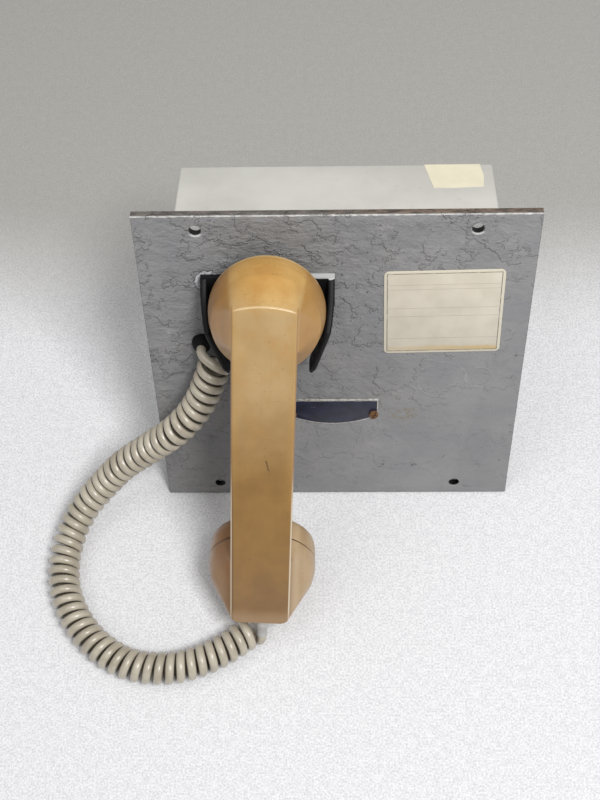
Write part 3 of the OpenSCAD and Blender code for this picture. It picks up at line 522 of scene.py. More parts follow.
def moulded_black():
    """Black moulding with grey scuffs, pale specks and grey paint left along its top."""
    f = Finish("black_moulding", Specular_IOR_Level=0.2)
    at = f.place(PLATE)
    x, z = f.axis(at, 0), f.axis(at, 2)
    mottle = f.noise(at, 9, 4)
    fine = f.noise(at, 0.7, 4)
    coat = f.mix(rgb(9, 9, 10), rgb(19, 19, 21), (0.6 * mottle + 0.4 * fine).ramp(0.3, 0.7))
    coat = f.mix(coat, rgb(52, 51, 51), f.noise(f.stretch(at, 1, 1, 0.3), 1.6, 4).ramp(0.62, 0.8) * 0.4)
    specks = f.cells(at, 6.5).ramp(0.035, 0.06, 1, 0) * f.noise(at, 9, 2).ramp(0.52, 0.6)
    ragged = f.noise(at, 2.4, 5)
    painted = (z + 1.4 * ragged).ramp(CRADLE_TOP - 0.35, CRADLE_TOP + 0.1)
    painted = painted * (x + 8 * ragged).ramp(-26, -20)
    coat = f.mix(coat, rgb(196, 196, 196), painted.most(specks) * 0.9)
    f.set(Base_Color=coat, Roughness=0.36 + 0.22 * mottle + 0.1 * fine, Normal=f.bump(fine, 0.06))
    return f.material


def label_print():
    """Bare cream label: a thin dark border line, faint rules, a stain along its foot."""
    f = Finish("cream_label")
    at = f.place(on_front(*RATING_AT) @ turn("Z", RATING_TURN))
    x, y = f.axis(at, 0), f.axis(at, 1)
    paper = f.mix(rgb(196, 188, 171), rgb(208, 200, 184), f.noise(at, 16, 5).ramp(0.3, 0.7))
    inset = (RATING_W / 2 - abs(x)).least(RATING_H / 2 - abs(y))
    paper = f.mix(rgb(203, 196, 178), paper, inset.ramp(1.4, 2.2))
    foot = -RATING_H / 2
    stain = (y + 5 * f.noise(at, 9, 5)).ramp(foot + 9, foot + 6) * inset.ramp(1.6, 2.1)
    stain = stain * (x + 30 * f.noise(at, 8, 3)).ramp(-30, 40, 0.25, 0.9)
    paper = f.mix(paper, rgb(198, 172, 118), stain)
    border = abs(inset - 1.8).ramp(0.16, 0.3, 1, 0)
    faded = f.noise(at, 4, 4).ramp(0.3, 0.5, 0.35, 0.85)
    rules = 0
    for up in RATING_RULES:
        rules = abs(y - up).ramp(0.08, 0.2, 1, 0).most(rules)
    ink = border.most(rules * inset.ramp(1.7, 1.9) * 0.45) * faded
    paper = f.mix(paper, rgb(74, 66, 58), ink)
    dirt = f.noise(at, 1.3, 5).ramp(0.62, 0.8) * f.noise(at, 15, 2).ramp(0.45, 0.65)
    f.set(Base_Color=f.mix(paper, rgb(168, 152, 122), dirt * 0.5), Roughness=0.42 + 0.3 * dirt,
          Normal=f.bump(f.noise(at, 3, 3), 0.05))
    return f.material


def nameplate_enamel():
    """Bare dark blue enamel within a bright metal border, rubbed through at the edges."""
    f = Finish("blue_enamel")
    at = f.place(on_front(*NAME_AT))
    x, y = f.axis(at, 0), f.axis(at, 1)
    blue = f.mix(rgb(17, 20, 38), rgb(29, 33, 56), f.noise(at, 7, 5).ramp(0.3, 0.7))
    low = y + NAME_SAG * (1 - (x / (NAME_W / 2)).power(2))
    inset = (NAME_W / 2 - abs(x)).least(0.5 * (NAME_H - y)).least(low)
    worn = f.noise(at, 2.2, 6, 0.65)
    metal = (inset + worn).ramp(1.2, 1.4, 1, 0)
    scrapes = f.noise(f.stretch(at, 0.1, 1, 1), 0.5, 3).ramp(0.69, 0.73) * f.noise(at, 9, 2).ramp(0.5, 0.6)
    metal = metal.most(scrapes * 0.6)
    silver = f.mix(rgb(150, 146, 140), rgb(206, 204, 200), worn.ramp(0.35, 0.65))
    f.set(Base_Color=f.mix(blue, silver, metal), Metallic=0.6 * metal, Roughness=0.32 + 0.2 * worn,
          Normal=f.bump(metal, 0.12))
    return f.material


def rusted_screw():
    """Rusty steel, bright where the rust has rubbed off."""
    f = Finish("rusty_steel")
    at = f.place()
    rust = f.noise(at, 2.2, 6, 0.65)
    fine = f.noise(at, 0.5, 4)
    coat = f.mix(rgb(70, 47, 30), rgb(124, 88, 56), rust.ramp(0.32, 0.62))
    coat = f.mix(coat, rgb(170, 158, 146), (rust * fine).ramp(0.34, 0.42) * 0.7)
    f.set(Base_Color=coat, Metallic=rust.ramp(0.5, 0.7, 0.1, 0.6), Roughness=0.55 + 0.3 * fine,
          Normal=f.bump(rust + fine, 0.12))
    return f.material


PAINTED_PLATE = plate_paint()
PAINTED_BOX = box_paint()
AGED_HANDSET = aged_handset()
CORD_JACKET = cord_jacket()
BLACK_MOULDING = moulded_black()
BLACK_RUBBER = plain_finish("black_rubber", rgb(15, 15, 16), 0.7, grain=0.08, Specular_IOR_Level=0.2)
PLATED_STEEL = plain_finish("plated_steel", rgb(176, 176, 172), 0.35, 1.0, grain=0.03)
RUSTY_STEEL = rusted_screw()
BRASS = plain_finish("turned_brass", rgb(190, 160, 92), 0.35, 1.0)
DARK_MOULDING = plain_finish("dark_moulding", rgb(52, 50, 52), 0.5)
LAMINATE = plain_finish("board_laminate", rgb(62, 104, 66), 0.4, size=3)
CAN_SLEEVE = plain_finish("can_sleeve", rgb(44, 54, 92), 0.35)
BLACK_ANODISED = plain_finish("black_anodised", rgb(46, 46, 48), 0.45, 0.6)
PLAIN_METAL = plain_finish("plain_metal", rgb(180, 178, 168), 0.4, 1.0)
LAMINATIONS = plain_finish("laminations", rgb(84, 84, 88), 0.5, 0.5)
WINDING_TAPE = plain_finish("winding_tape", rgb(150, 98, 52), 0.6)
FUSE_GLASS = plain_finish("fuse_glass", rgb(230, 236, 236), 0.1, spread=0.05, Alpha=0.5)
PALE_SLEEVE = plain_finish("pale_sleeve", rgb(196, 194, 192), 0.3, spread=0.08, Alpha=0.6)
CREAM_LABEL = label_print()
BLUE_ENAMEL = nameplate_enamel()
TAPE = plain_finish("paper_tape", rgb(228, 221, 196), 0.6, spread=0.05)


# Mesh tools; shapes are in millimetres in their frame until they are placed
SHARP_EDGE, FLAT_JOIN = math.radians(40), math.radians(0.5)


def solid(points, faces):
    """A bmesh from points and lists of their numbers."""
    bm = bmesh.new()
    made = [bm.verts.new(p) for p in points]
    for face in faces:
        bm.faces.new([made[i] for i in face])
    return bm


def hull(points):
    """The convex solid round some points."""
    bm = bmesh.new()
    for p in points:
        bm.verts.new(p)
    made = bmesh.ops.convex_hull(bm, input=bm.verts)
    left_over = made["geom_interior"] + made["geom_unused"]
    loose = {part for part in left_over if isinstance(part, bmesh.types.BMVert)}
    bmesh.ops.delete(bm, geom=list(loose), context="VERTS")
    return bm


def cuboid(low, high):
    xs, ys, zs = zip(low, high)
    return hull([(x, y, z) for x in xs for y in ys for z in zs])


def ring(radius, z, count, centre=(0, 0)):
    return [(centre[0] + radius * math.cos(2 * math.pi * i / count),
             centre[1] + radius * math.sin(2 * math.pi * i / count), z) for i in range(count)]


def rod(radius, low, high, count=48, centre=(0, 0)):
    return hull(ring(radius, low, count, centre) + ring(radius, high, count, centre))


def lathe(profile, count):
    """A closed turned solid about Z from (radius, height) points that start and end on the axis."""
    points, faces = [], []
    inner = profile[1:-1]
    for r, z in inner:
        points += ring(r, z, count)
    first, last = len(points), len(points) + 1
    points += [(0, 0, profile[0][1]), (0, 0, profile[-1][1])]
    for i in range(count):
        j = (i + 1) % count
        faces.append((first, j, i))
        for k in range(len(inner) - 1):
            a = k * count
            faces.append((a + i, a + j, a + count + j, a + count + i))
        top = (len(inner) - 1) * count
        faces.append((last, top + i, top + j))
    bm = solid(points, faces)
    bmesh.ops.recalc_face_normals(bm, faces=bm.faces)
    return bm


def loft(sections):
    """A closed solid through outlines that have the same number of points."""
    count = len(sections[0])
    last = len(sections) - 1
    faces = [tuple(reversed(range(count))), tuple(range(last * count, (last + 1) * count))]
    for i in range(last):
        for k in range(count):
            a, b = i * count + k, i * count + (k + 1) % count
            faces.append((a, b, b + count, a + count))
    bm = solid([p for section in sections for p in section], faces)
    bmesh.ops.recalc_face_normals(bm, faces=bm.faces)
    return bm


def moved(bm, matrix):
    bm.transform(matrix)
    return bm


def scratch(bm):
    """A passing object for modifiers to work on."""
    mesh = bpy.data.meshes.new("scratch")
    bm.to_mesh(mesh)
    bm.free()
    made = bpy.data.objects.new("scratch", mesh)
    bpy.context.scene.collection.objects.link(made)
    return made


def discard(*objs):
    for o in objs:
        mesh = o.data
        bpy.data.objects.remove(o)
        bpy.data.meshes.remove(mesh)


def settled(obj):
    """The object's mesh with its modifiers applied, as a bmesh; the object goes."""
    bpy.context.view_layer.update()
    graph = bpy.context.evaluated_depsgraph_get()
    bm = bmesh.new()
    bm.from_object(obj, graph)
    discard(obj)
    return bm


def carved(base, tools, operation="DIFFERENCE"):
    """A solid less other solids, or joined with them."""
    for tool in tools:
        a, b = scratch(base), scratch(tool)
        made = a.modifiers.new("carve", "BOOLEAN")
        made.operation, made.solver, made.object = operation, "EXACT", b
        base = settled(a)
        discard(b)
    return base


def softened(bm, voxel, rounds):
    """One even skin over a solid, its edges eased."""
    obj = scratch(bm)
    skin = obj.modifiers.new("skin", "REMESH")
    skin.mode, skin.voxel_size = "VOXEL", voxel
    ease = obj.modifiers.new("ease", "SMOOTH")
    ease.factor, ease.iterations = 0.5, rounds
    return settled(obj)


def piece(name, bm, frame_mm, body, finish, replaces=(), smooth=35):
    """Places a shape in the row frame, in metres, on a body."""
    if frame_mm is not None:
        bm.transform(ROW @ frame_mm)
    mesh = bpy.data.meshes.new(name)
    bm.to_mesh(mesh)
    bm.free()
    for polygon in mesh.polygons:
        polygon.use_smooth = True
    mesh.set_sharp_from_angle(angle=math.radians(smooth))
    mesh.materials.append(finish)
    made = bpy.data.objects.new(name, mesh)
    bpy.context.scene.collection.objects.link(made)
    if body:
        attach(made, body)
    if replaces:
        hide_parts(*replaces)
    return made


def eased_node(name, node, width, body, finish, segments=3, only=None):
    """A CAD node's own shape with its sharp edges rounded, in the node's place."""
    bm = bmesh.new()
    bm.from_mesh(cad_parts[node].data)
    bmesh.ops.remove_doubles(bm, verts=bm.verts, dist=1e-6)
    bmesh.ops.dissolve_limit(bm, angle_limit=FLAT_JOIN, verts=bm.verts, edges=bm.edges)
    to_plate = (ROW @ PLATE).inverted()
    sharp = [e for e in bm.edges if len(e.link_faces) == 2 and e.calc_face_angle() > SHARP_EDGE
             and (only is None or only(*(to_plate @ v.co for v in e.verts)))]
    bmesh.ops.bevel(bm, geom=sharp, offset=width * MM, segments=segments, profile=0.5, affect="EDGES",
                    clamp_overlap=True)
    return piece(name, bm, None, body, finish, (node,))


# Curly cord: the CAD route, ended a little sooner, with smoother and closer curls
CORD_D, CURL_D = 5.6, 19.7
CURL_TURNS, CURL_CROWD, CURL_START = 53.25, 0.06, -math.pi / 2
CORD_AXIS = [(-69.3, 22, 124.1), (-80.2, 9.4, 100.4), (-95, 0.9, 82.9), (-113, -1.3, 63.2),
             (-131, -4.6, 45.9), (-146, -11.5, 30), (-158.5, -22, 19.5), (-166.5, -36, 13),
             (-170, -53, 10.5), (-168.5, -71, 10.5), (-162, -88, 10.5), (-151.5, -102.5, 10.5),
             (-139, -113, 10.5), (-125, -120, 10.5), (-110, -122.5, 10.5), (-95, -121.5, 10.5),
             (-80.5, -117, 10.5), (-67, -110, 10.5), (-57, -103, 10.5), (-51.9, -99.3, 10.5)]
AXIS_STEPS, CURL_STEPS, TAIL_STEPS, CORD_SIDES = 24, 20, 16, 12
GLAND_AT, GLAND_OUT = (-76.76, 133.6), 5
RELIEF = Vector((1.3, -24.5, -GRIP_LEN))
RELIEF_LEN, SLEEVE_LEN = 12, 15
TAIL_PULL = 9


def resampled(points, count):
    """Points at even distances along a line."""
    runs = [0.0]
    for a, b in zip(points, points[1:]):
        runs.append(runs[-1] + (b - a).length)
    made, k = [], 0
    for i in range(count + 1):
        at = runs[-1] * i / count
        while k < len(points) - 2 and runs[k + 1] < at:
            k += 1
        made.append(points[k].lerp(points[k + 1], (at - runs[k]) / (runs[k + 1] - runs[k])))
    return made


def carried(ways, start):
    """A side vector kept square to a changing direction, without twist."""
    side, made = start, []
    for way in ways:
        side = (side - way * side.dot(way)).normalized()
        made.append(side)
    return made


def ways_of(points):
    last = len(points) - 1
    return [(points[min(i + 1, last)] - points[max(i - 1, 0)]).normalized() for i in range(last + 1)]


def bezier(a, b, c, d, count):
    return [a * (1 - t) ** 3 + b * 3 * t * (1 - t) ** 2 + c * 3 * t * t * (1 - t) + d * t ** 3
            for t in (k / count for k in range(count + 1))]


def coil_axis():
    """The line along the middle of the curls, through its knots, in even steps."""
    knots = [Vector((x, y + STAND_Y, z)) for x, y, z in CORD_AXIS]
    curve = []
    for i in range(len(knots) - 1):
        a, b, c, d = (knots[max(0, min(len(knots) - 1, i + k))] for k in (-1, 0, 1, 2))
        for k in range(AXIS_STEPS):
            t = k / AXIS_STEPS
            curve.append((2 * b + (c - a) * t + (2 * a - 5 * b + 4 * c - d) * t ** 2
                          + (3 * b - a - 3 * c + d) * t ** 3) / 2)
    curve.append(knots[-1])
    return resampled(curve, round(CURL_TURNS * CURL_STEPS))


def cord_route():
    """The cord's points, and at each the direction of the coil, nought where it isn't curled."""
    axis = coil_axis()
    ways = ways_of(axis)
    front = (PLATE.to_3x3() @ Vector((0, -1, 0))).normalized()
    radius = (CURL_D - CORD_D) / 2
    curl = []
    for j, (p, way, side) in enumerate(zip(axis, ways, carried(ways, front))):
        u = j / (len(axis) - 1)
        a = CURL_START - 2 * math.pi * CURL_TURNS * u * (1 + CURL_CROWD * u) / (1 + CURL_CROWD)
        curl.append(p + radius * (math.cos(a) * side + math.sin(a) * way.cross(side)))
    gland = PLATE @ Vector((GLAND_AT[0], -GLAND_OUT, GLAND_AT[1]))
    root, tip = HAND @ RELIEF, HAND @ (RELIEF - Vector((0, 0, RELIEF_LEN)))
    down = (tip - root).normalized()
    start, end = gland + CORD_D * front / 2, tip + (SLEEVE_LEN - RELIEF_LEN) * down
    enter, leave = (curl[1] - curl[0]).normalized(), (curl[-1] - curl[-2]).normalized()
    first = bezier(start, start + TAIL_PULL * front, curl[0] - TAIL_PULL * enter, curl[0], TAIL_STEPS)
    tail = bezier(curl[-1], curl[-1] + TAIL_PULL * leave / 2, end + TAIL_PULL * down / 2, end, TAIL_STEPS)
    straight = Vector((0, 0, 0))
    return ([gland] + first[:-1] + curl + tail[1:] + [tip],
            [straight] * len(first) + ways + [straight] * len(tail))


def tube(route, radius, sides):
    """A closed round tube along a route."""
    ways = ways_of(route)
    across = carried(ways, Vector((1, 0, 0)) if abs(ways[0].x) < 0.9 else Vector((0, 1, 0)))
    points, faces = [], []
    for p, way, side in zip(route, ways, across):
        up = way.cross(side)
        for k in range(sides):
            a = 2 * math.pi * k / sides
            points.append(p + radius * (math.cos(a) * side + math.sin(a) * up))
    for i in range(len(route) - 1):
        for k in range(sides):
            a, b = i * sides + k, i * sides + (k + 1) % sides
            faces.append((a, b, b + sides, a + sides))
    faces.append(tuple(reversed(range(sides))))
    faces.append(tuple(range((len(route) - 1) * sides, len(route) * sides)))
    return solid(points, faces)


def make_cord():
    """The cord, blended between the station and the handset, with the measure that its jacket reads for
    painted shade between the curls.
    """
    route, coil_ways = cord_route()
    made = piece("curly_cord", tube(route, CORD_D / 2, CORD_SIDES), Matrix.Identity(4), None,
                 CORD_JACKET, ("coil_cord",), smooth=60)
    gaps = []
    for i, vertex in enumerate(made.data.vertices):
        out = vertex.co / MM - route[i // CORD_SIDES]
        gaps.append(abs(out.dot(coil_ways[i // CORD_SIDES])) * 2 / CORD_D)
    made.data.attributes.new(CURL_SHADE, "FLOAT", "POINT").data.foreach_set("value", gaps)
    path = [p * MM for p in route]
    length = sum((b - a).length for a, b in zip(path, path[1:]))
    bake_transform(made)


make_cord()


# Handset
GRIP_FACE_W, GRIP_BOW = 28, 1.2
DOME_FOOT, HANDLE_TOP = -6, 5
EAR_RINGS = [(0.975, 8), (1.0, 5), (1.0, 1), (0.983, -4), (0.957, -8), (0.92, -13)]
MOUTH_RINGS = [(1.0, 0), (1.0, -2.5), (0.99, -8), (0.94, -14)]
EAR_LIP, EAR_LIP_T = 5, 2.6
CUP_DEEP, CUP_RISE = 14, 45
END_R, SEAM, ROUND_SIDES = 3.2, 0.6, 160
CAPSULE_R, CAPSULE_DEEP = 25, 14
PRESS_SLOT = (-7.5, -20, -118), (7.5, -7, -36)
SKIN_VOXEL, SKIN_ROUNDS = 0.5, 4
SOUND_HOLE_R, SOUND_RING_R, SOUND_RING_COUNT = 1.2, 9, 6


def grip_section():
    """Outline of the handle across its length: a flat back with trimmed edges, sides that draw in."""
    half, face = GRIP_W / 2, GRIP_FACE_W / 2
    right = [(half - GRIP_EDGE, -GRIP_BACK), (half, GRIP_EDGE - GRIP_BACK), (face, -GRIP_FACE)]
    return right + [(-x, y) for x, y in reversed(right)]


def grip_points(low, high):
    return [(x, y, z) for x, y in grip_section() for z in (low, high)]


def end_points(count=8):
    """The handle's lower end, with rounded corners and a slightly bowed edge."""
    made = []
    for x, y in grip_section():
        inner = abs(x) - END_R
        for i in range(count + 1):
            a = math.pi / 2 * i / count
            across = math.copysign(inner + END_R * math.sin(a), x)
            bow = GRIP_BOW * (1 - (across / GRIP_W * 2) ** 2)
            made.append((across, y, END_R * (1 - math.cos(a)) - GRIP_LEN - bow))
    return made


def crease_points(count=24):
    """The arc across the handle's back where it turns down over the ear end."""
    half = GRIP_W / 2 - GRIP_EDGE
    across = [half * (2 * i / count - 1) for i in range(count + 1)]
    return [(x, -GRIP_BACK, GRIP_CREASE - CREASE_ARC * (x / half) ** 2) for x in across]


def handset_form():
    """The shell as one eased skin: dome, handle and mouth cup, with room for its caps and press bar."""
    mouth, ear = HAND.inverted() @ MOUTH, HAND.inverted() @ EAR
    ear_rings = [(x, y, z) for share, y in EAR_RINGS for x, z, _ in ring(share * EAR_R, 0, ROUND_SIDES)]
    dome = hull(ear_rings + crease_points() + grip_points(DOME_FOOT, GRIP_CREASE - CREASE_ARC))
    handle = hull(end_points() + grip_points(END_R - GRIP_LEN, HANDLE_TOP))
    mouth_rings = [p for share, z in MOUTH_RINGS for p in ring(share * MOUTH_R, z, ROUND_SIDES)]
    half = GRIP_W / 2
    cup_back = [(x, y, z) for x in (-half, half) for y in (GRIP_EDGE - GRIP_BACK, CUP_DEEP - GRIP_BACK)
                for z in (END_R - GRIP_LEN, CUP_RISE - GRIP_LEN)]
    cup = hull([tuple(mouth @ Vector(p)) for p in mouth_rings] + cup_back)
    cuts = [moved(rod(2 * EAR_R, EAR_LIP, 2 * EAR_R), ear),
            moved(rod(CAPSULE_R, -CAPSULE_DEEP, 1), ear),
            moved(rod(EAR_R - EAR_LIP_T, 0, 2 * EAR_LIP, 96), ear),
            moved(rod(MOUTH_R + 0.5, -SEAM, 2 * MOUTH_R), mouth),
            moved(rod(CAPSULE_R, -CAPSULE_DEEP, 1), mouth),
            cuboid(*PRESS_SLOT)]
    return softened(carved(carved(dome, [handle, cup], "UNION"), cuts), SKIN_VOXEL, SKIN_ROUNDS)


def cap_form(rim, face, height):
    """A screw-on cap: skirt, rounded shoulder, slightly hollow face with sound holes, spigot behind."""
    skirt = height * 0.36
    spigot = CAPSULE_R - 0.05
    profile = [(0, -4), (spigot, -4), (spigot, 0.2), (rim - 0.8, 0.2), (rim, 1.0), (rim, skirt)]
    for i in range(1, 11):
        a = math.pi / 2 * i / 10
        profile.append((rim - (rim - face) * (1 - math.cos(a)), skirt + (height - skirt) * math.sin(a)))
    profile += [(face - 3, height), (face - 5, height - 0.5), (10, height - 0.9), (0, height - 0.9)]
    centres = [(0, 0)] + [p[:2] for p in ring(SOUND_RING_R, 0, SOUND_RING_COUNT)]
    holes = [rod(SOUND_HOLE_R, height - 5, height + 1, 24, centre) for centre in centres]
    return carved(lathe(profile, 128), [rod(CAPSULE_R - 3, -5, height - 3)] + holes)


def make_handset():
    piece("handset_shell_form", handset_form(), HAND, "handset", AGED_HANDSET,
          ("handset_shell",), 180)
    piece("ear_cap_form", cap_form(rim=EAR_R - 3, face=26, height=8.4), EAR, "handset", AGED_HANDSET,
          ("ear_cap",))
    piece("mouth_cap_form", cap_form(rim=MOUTH_R - 0.3, face=29, height=13.5), MOUTH, "handset",
          AGED_HANDSET, ("mouth_cap",))
    eased_node("press_bar_form", "press_bar", 1.2, "press_bar", BLACK_MOULDING)


make_handset()


# Plate, box and cradle
def box_outside(a, b):
    """Whether an edge lies on one of the box's outer bends, from its ends in plate coordinates."""
    def outer(p):
        off = (abs(p.x) - BOX_SIDE, p.y - BOX_REAR, min(abs(p.z - BOX_LOW), abs(p.z - BOX_TOP)))
        return [abs(distance) < 0.05 for distance in off]
    return sum(u and v for u, v in zip(outer(a), outer(b))) >= 2


ARM_SIDE, ARM_BEND, ARM_LEAN, ARM_LOW = CRADLE_W / 2, 166.7, 17.8, 130.5
ARM_OUT, ARM_WALL, ARM_SLOPE, ARM_BLEND = 25, 3.8, 22, 13
ARM_ROOT, ARM_FREE = 162, 17
ARM_TIP_STEPS, ARM_STEPS = 8, 40
CRADLE_STRAIGHT, CRADLE_DROP, CRADLE_TAPER = 20, 34, 9
HOOK_UP, HOOK_HOLE_R = 171, 3.3
CRADLE_SCREW_DX, CRADLE_SCREW_DROP, CRADLE_SCREW_R = 24, 8, 1.55


def arm_section(up, steps=4):
    """Outline of the right arm at a height: thick at the plate, its front edges rounded."""
    past = ARM_BEND - up
    bent = past
    if past < ARM_BLEND:
        bent = (past + ARM_BLEND) ** 2 / (4 * ARM_BLEND)
    if past < -ARM_BLEND:
        bent = 0
    inward = math.tan(math.radians(ARM_LEAN)) * bent
    to_tip = min(1.0, (up - ARM_LOW) / ARM_WALL)
    half = ARM_WALL / 2 * max(0.25, math.sqrt(1 - (1 - to_tip) ** 2))
    slope = CRADLE_PLATE + (ARM_OUT - CRADLE_PLATE) * (CRADLE_TOP - up) / ARM_SLOPE
    out = min(ARM_OUT - 1.5 * (1 - to_tip), slope)
    middle = ARM_SIDE - ARM_WALL / 2 - inward
    r = 0.8 * half
    edge = [(half - r + r * math.cos(a), r - out - r * math.sin(a)) for a in
            (math.pi / 2 * i / steps for i in range(steps + 1))]
    back = ARM_FREE * max(0, (ARM_ROOT - up) / (ARM_ROOT - ARM_LOW))
    right = [(half, -back)] + edge
    return [(middle + x, y, up) for x, y in right + [(-x, y) for x, y in reversed(right)]]


def make_cradle():
    heights = [ARM_LOW + 0.02 * ARM_WALL * i * i for i in range(ARM_TIP_STEPS)]
    rise = CRADLE_TOP - 0.4 - ARM_LOW - ARM_WALL
    heights += [ARM_LOW + ARM_WALL + rise * i / ARM_STEPS for i in range(ARM_STEPS + 1)]
    right = [arm_section(up) for up in heights]
    left = [[(-x, y, z) for x, y, z in section] for section in right]
    side = ARM_SIDE - 0.1
    outline = [(side, CRADLE_TOP), (side, CRADLE_TOP - CRADLE_STRAIGHT),
               (ARM_SIDE - CRADLE_TAPER, CRADLE_TOP - CRADLE_DROP)]
    plate = hull([(x, y, z) for across, z in outline for x in (-across, across)
                  for y in (-CRADLE_PLATE, -0.02)])
    form = carved(plate, [loft(right), loft(left)], "UNION")
    screw_up = CRADLE_TOP - CRADLE_SCREW_DROP - HOOK_UP
    cuts = [rod(HOOK_HOLE_R, -5, 5)]
    cuts += [rod(CRADLE_SCREW_R, -5, 5, 32, (dx, screw_up)) for dx in (-CRADLE_SCREW_DX, CRADLE_SCREW_DX)]
    form = carved(form, [moved(c, move(0, 0, HOOK_UP) @ turn("X", 90)) for c in cuts])
    piece("cradle_form", form, PLATE @ move(-CRADLE_X, 0, 0), "station", BLACK_MOULDING,
          ("cradle",), 40)


eased_node("face_plate_form", "front_panel", 0.7, "station", PAINTED_PLATE)
eased_node("rear_box_form", "rear_box", 1.4, "station", PAINTED_BOX, 4, box_outside)
make_cradle()
eased_node("label_form", "rating_plate", 0.15, "station", CREAM_LABEL, 2)
eased_node("nameplate_form", "nameplate", 0.15, "station", BLUE_ENAMEL, 2)


# Screws, tape, gland and sleeve
SCREW_LEN = 8
SLOT_START, SLOT_TURN = 8, 57
NAME_SCREW_DX, NAME_SCREW_UP, NAME_T = 24.6, 1.2, 0.6
BOX_SCREW_DX, BOX_SCREW_DZ = 77.8, 76.9
TAPE_LIFT, TAPE_FACE = 0.01, 0.18


def screw_form(length, angle, shank=3, head=5.6, height=2):
    """A slotted pan-head screw, its head on the frame's origin."""
    half = head / 2
    profile = [(0, -length), (shank / 2, -length), (shank / 2, 0), (half, 0), (half, 0.5 * height),
               (0.93 * half, 0.78 * height), (0.7 * half, 0.95 * height), (0.4 * half, height), (0, height)]
    slot = moved(cuboid((-head, -0.45, 0.5 * height), (head, 0.45, 2 * height)), turn("Z", angle))
    return carved(lathe(profile, 48), [slot])


def screw_set(node, frames, length, finish):
    """All the screws of one CAD node as one piece, each slot turned its own way."""
    merged = bmesh.new()
    for i, frame_mm in enumerate(frames):
        mesh = bpy.data.meshes.new("scratch")
        one = moved(screw_form(length, SLOT_START + SLOT_TURN * i), frame_mm)
        one.to_mesh(mesh)
        one.free()
        merged.from_mesh(mesh)
        bpy.data.meshes.remove(mesh)
    piece(node + "_form", merged, Matrix.Identity(4), "station", finish, (node,))


def tape_form():
    """A torn strip of paper tape, lying on the box's top in plate coordinates."""
    corners = [(50.8, 75.6), (51.6, 71), (54.2, 64), (55, 53.6),
               (66, 53.2), (83, 54.4), (84, 64), (82.6, 75.6)]
    return hull([(x, y, z) for x, y in corners for z in (BOX_TOP + TAPE_LIFT, BOX_TOP + TAPE_FACE)])


def gland_form():
    """A rubber boot round the cord where it leaves the plate."""
    profile = [(0, -6.8), (5.3, -6.8), (5.3, -4.85), (4.75, -4.8), (4.75, 0.02), (5.6, 0.02), (5.75, 0.5),
               (5.75, 1.6), (5.5, 3), (4.9, 4.6), (4.2, 5.8), (3.5, 6.5), (0, 6.6)]
    return carved(lathe(profile, 64), [rod(CORD_D / 2 + 0.05, GLAND_OUT, 12)])


def sleeve_form():
    """A soft pale sleeve over the cord below the handle's end."""
    profile = [(0, 6), (3.2, 6), (3.2, 0.5), (3.6, 0), (3.6, -1.5), (3.3, -2.2), (3.2, 1.2 - SLEEVE_LEN),
               (3.35, 0.6 - SLEEVE_LEN), (3.25, -SLEEVE_LEN), (0, -SLEEVE_LEN)]
    return carved(lathe(profile, 48), [rod(CORD_D / 2 + 0.1, -2 * SLEEVE_LEN, -RELIEF_LEN)])


piece("paper_tape", tape_form(), PLATE, "station", TAPE)
piece("gland_boot", gland_form(), on_front(*GLAND_AT), "station", BLACK_RUBBER,
      ("cord_gland",))
piece("relief_sleeve", sleeve_form(), HAND @ Matrix.Translation(RELIEF), "handset", PALE_SLEEVE,
      ("cord_relief",))
screw_set("nameplate_screws", [on_front(NAME_AT[0] + dx, NAME_AT[1] + NAME_SCREW_UP, NAME_T)
                               for dx in (-NAME_SCREW_DX, NAME_SCREW_DX)],
          PLATE_T, RUSTY_STEEL)
screw_set("cradle_screws", [on_front(dx - CRADLE_X, CRADLE_TOP - CRADLE_SCREW_DROP, CRADLE_PLATE)
                            for dx in (-CRADLE_SCREW_DX, CRADLE_SCREW_DX)],
          SCREW_LEN, PLATED_STEEL)
screw_set("box_screws", [on_box_rear(dx, PLATE_H / 2 + dz, BOX_REAR)
                         for dx in (-BOX_SCREW_DX, BOX_SCREW_DX) for dz in (-BOX_SCREW_DZ, BOX_SCREW_DZ)],
          SCREW_LEN, PLATED_STEEL)

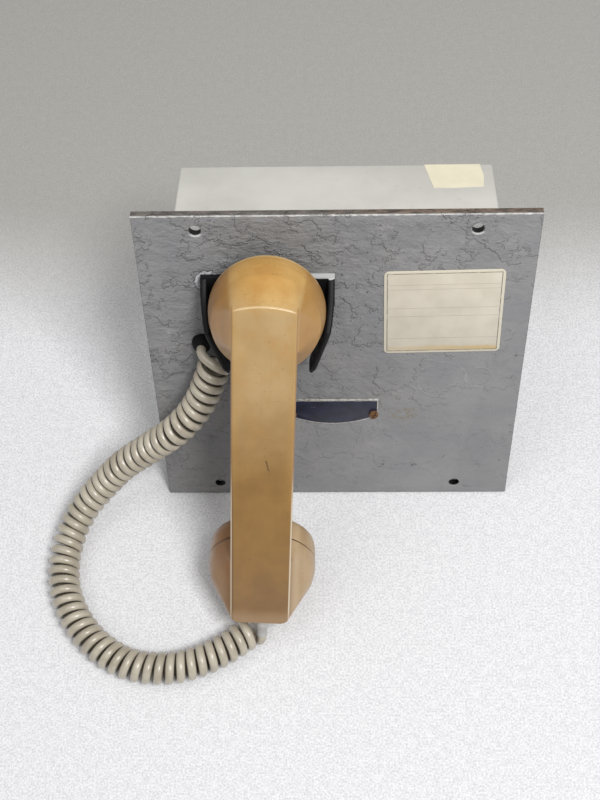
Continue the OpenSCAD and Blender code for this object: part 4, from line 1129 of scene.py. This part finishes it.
# CAD nodes that keep their own shape
for finish, nodes in (
        (BLACK_MOULDING, ["hook_plunger"]),
        (BLACK_RUBBER, ["cable_grommet"]),
        (PLATED_STEEL, ["box_posts", "bridge_screws", "switch_screws", "board_posts", "board_screws",
                        "transformer_screws", "plunger_collar", "plunger_spring", "switch_bridge",
                        "switch_lever", "press_bar_pin", "press_bar_spring", "output_transistors"]),
        (BRASS, ["plunger_bush", "terminal_screws", "fuse_clips"]),
        (DARK_MOULDING, ["hook_switch", "press_switch", "press_switch_button", "terminal_block"]),
        (LAMINATE, ["circuit_board"]),
        (CAN_SLEEVE, ["smoothing_capacitors"]),
        (BLACK_ANODISED, ["heat_sink"]),
        (PLAIN_METAL, ["volume_control", "volume_shaft", "receiver_capsule", "transmitter_capsule"]),
        (LAMINATIONS, ["transformer_core"]),
        (WINDING_TAPE, ["transformer_winding"]),
        (FUSE_GLASS, ["fuse"])):
    for node in nodes:
        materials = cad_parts[node].data.materials
        materials.clear()
        materials.append(finish)


# Floor, light and world, in metres
FLOOR_HALF = 4
WORLD_LIGHT = 0.38
LAMP_AIM = Vector((0, 0, 0.05))
LAMPS = (("key", Vector((0.5, -0.62, 1.65)), 0.5, 26),
         ("fill", Vector((-0.6, -0.2, 1.6)), 1.0, 5))


def pale_cloth():
    """Finely woven pale cloth, greyer behind the object as painted shade."""
    f = Finish("pale_cloth", Roughness=0.8)
    at = f.place()
    weave = 0.8 * f.noise(at, 1.2, 4) + 0.2 * f.noise(at, 5, 3)
    pale = f.mix(rgb(201, 201, 203), rgb(230, 230, 232), weave.ramp(0.34, 0.64))
    shaded_far = f.mix(rgb(160, 158, 153), rgb(172, 170, 165), weave.ramp(0.36, 0.64))
    shade_reach = f.axis(at, 1) + 40 * f.noise(f.stretch(at, 1, 0.2, 1), 90, 2)
    # Painted shade: the cloth turns grey further behind the object
    f.set(Base_Color=f.mix(pale, shaded_far, shade_reach.ramp(108, 240)), Normal=f.bump(weave, 0.4))
    return f.material


def make_stage():
    mesh = bpy.data.meshes.new("floor")
    corners = [(x * FLOOR_HALF, y * FLOOR_HALF, 0) for x, y in ((-1, -1), (1, -1), (1, 1), (-1, 1))]
    mesh.from_pydata(corners, [], [(0, 1, 2, 3)])
    mesh.materials.append(pale_cloth())
    floor = bpy.data.objects.new("floor", mesh)
    bpy.context.scene.collection.objects.link(floor)


def make_light():
    world = bpy.data.worlds.new("studio")
    world.use_nodes = True
    background = world.node_tree.nodes["Background"]
    background.inputs["Color"].default_value = (1, 1, 1, 1)
    background.inputs["Strength"].default_value = WORLD_LIGHT
    bpy.context.scene.world = world
    for name, place, size, power in LAMPS:
        lamp = bpy.data.lights.new(name, "AREA")
        lamp.size, lamp.energy = size, power
        holder = bpy.data.objects.new(name, lamp)
        holder.location = place
        holder.rotation_euler = (LAMP_AIM - place).to_track_quat("-Z", "Y").to_euler()
        bpy.context.scene.collection.objects.link(holder)


make_stage()
make_light()
bpy.context.scene.view_settings.view_transform = "Standard"
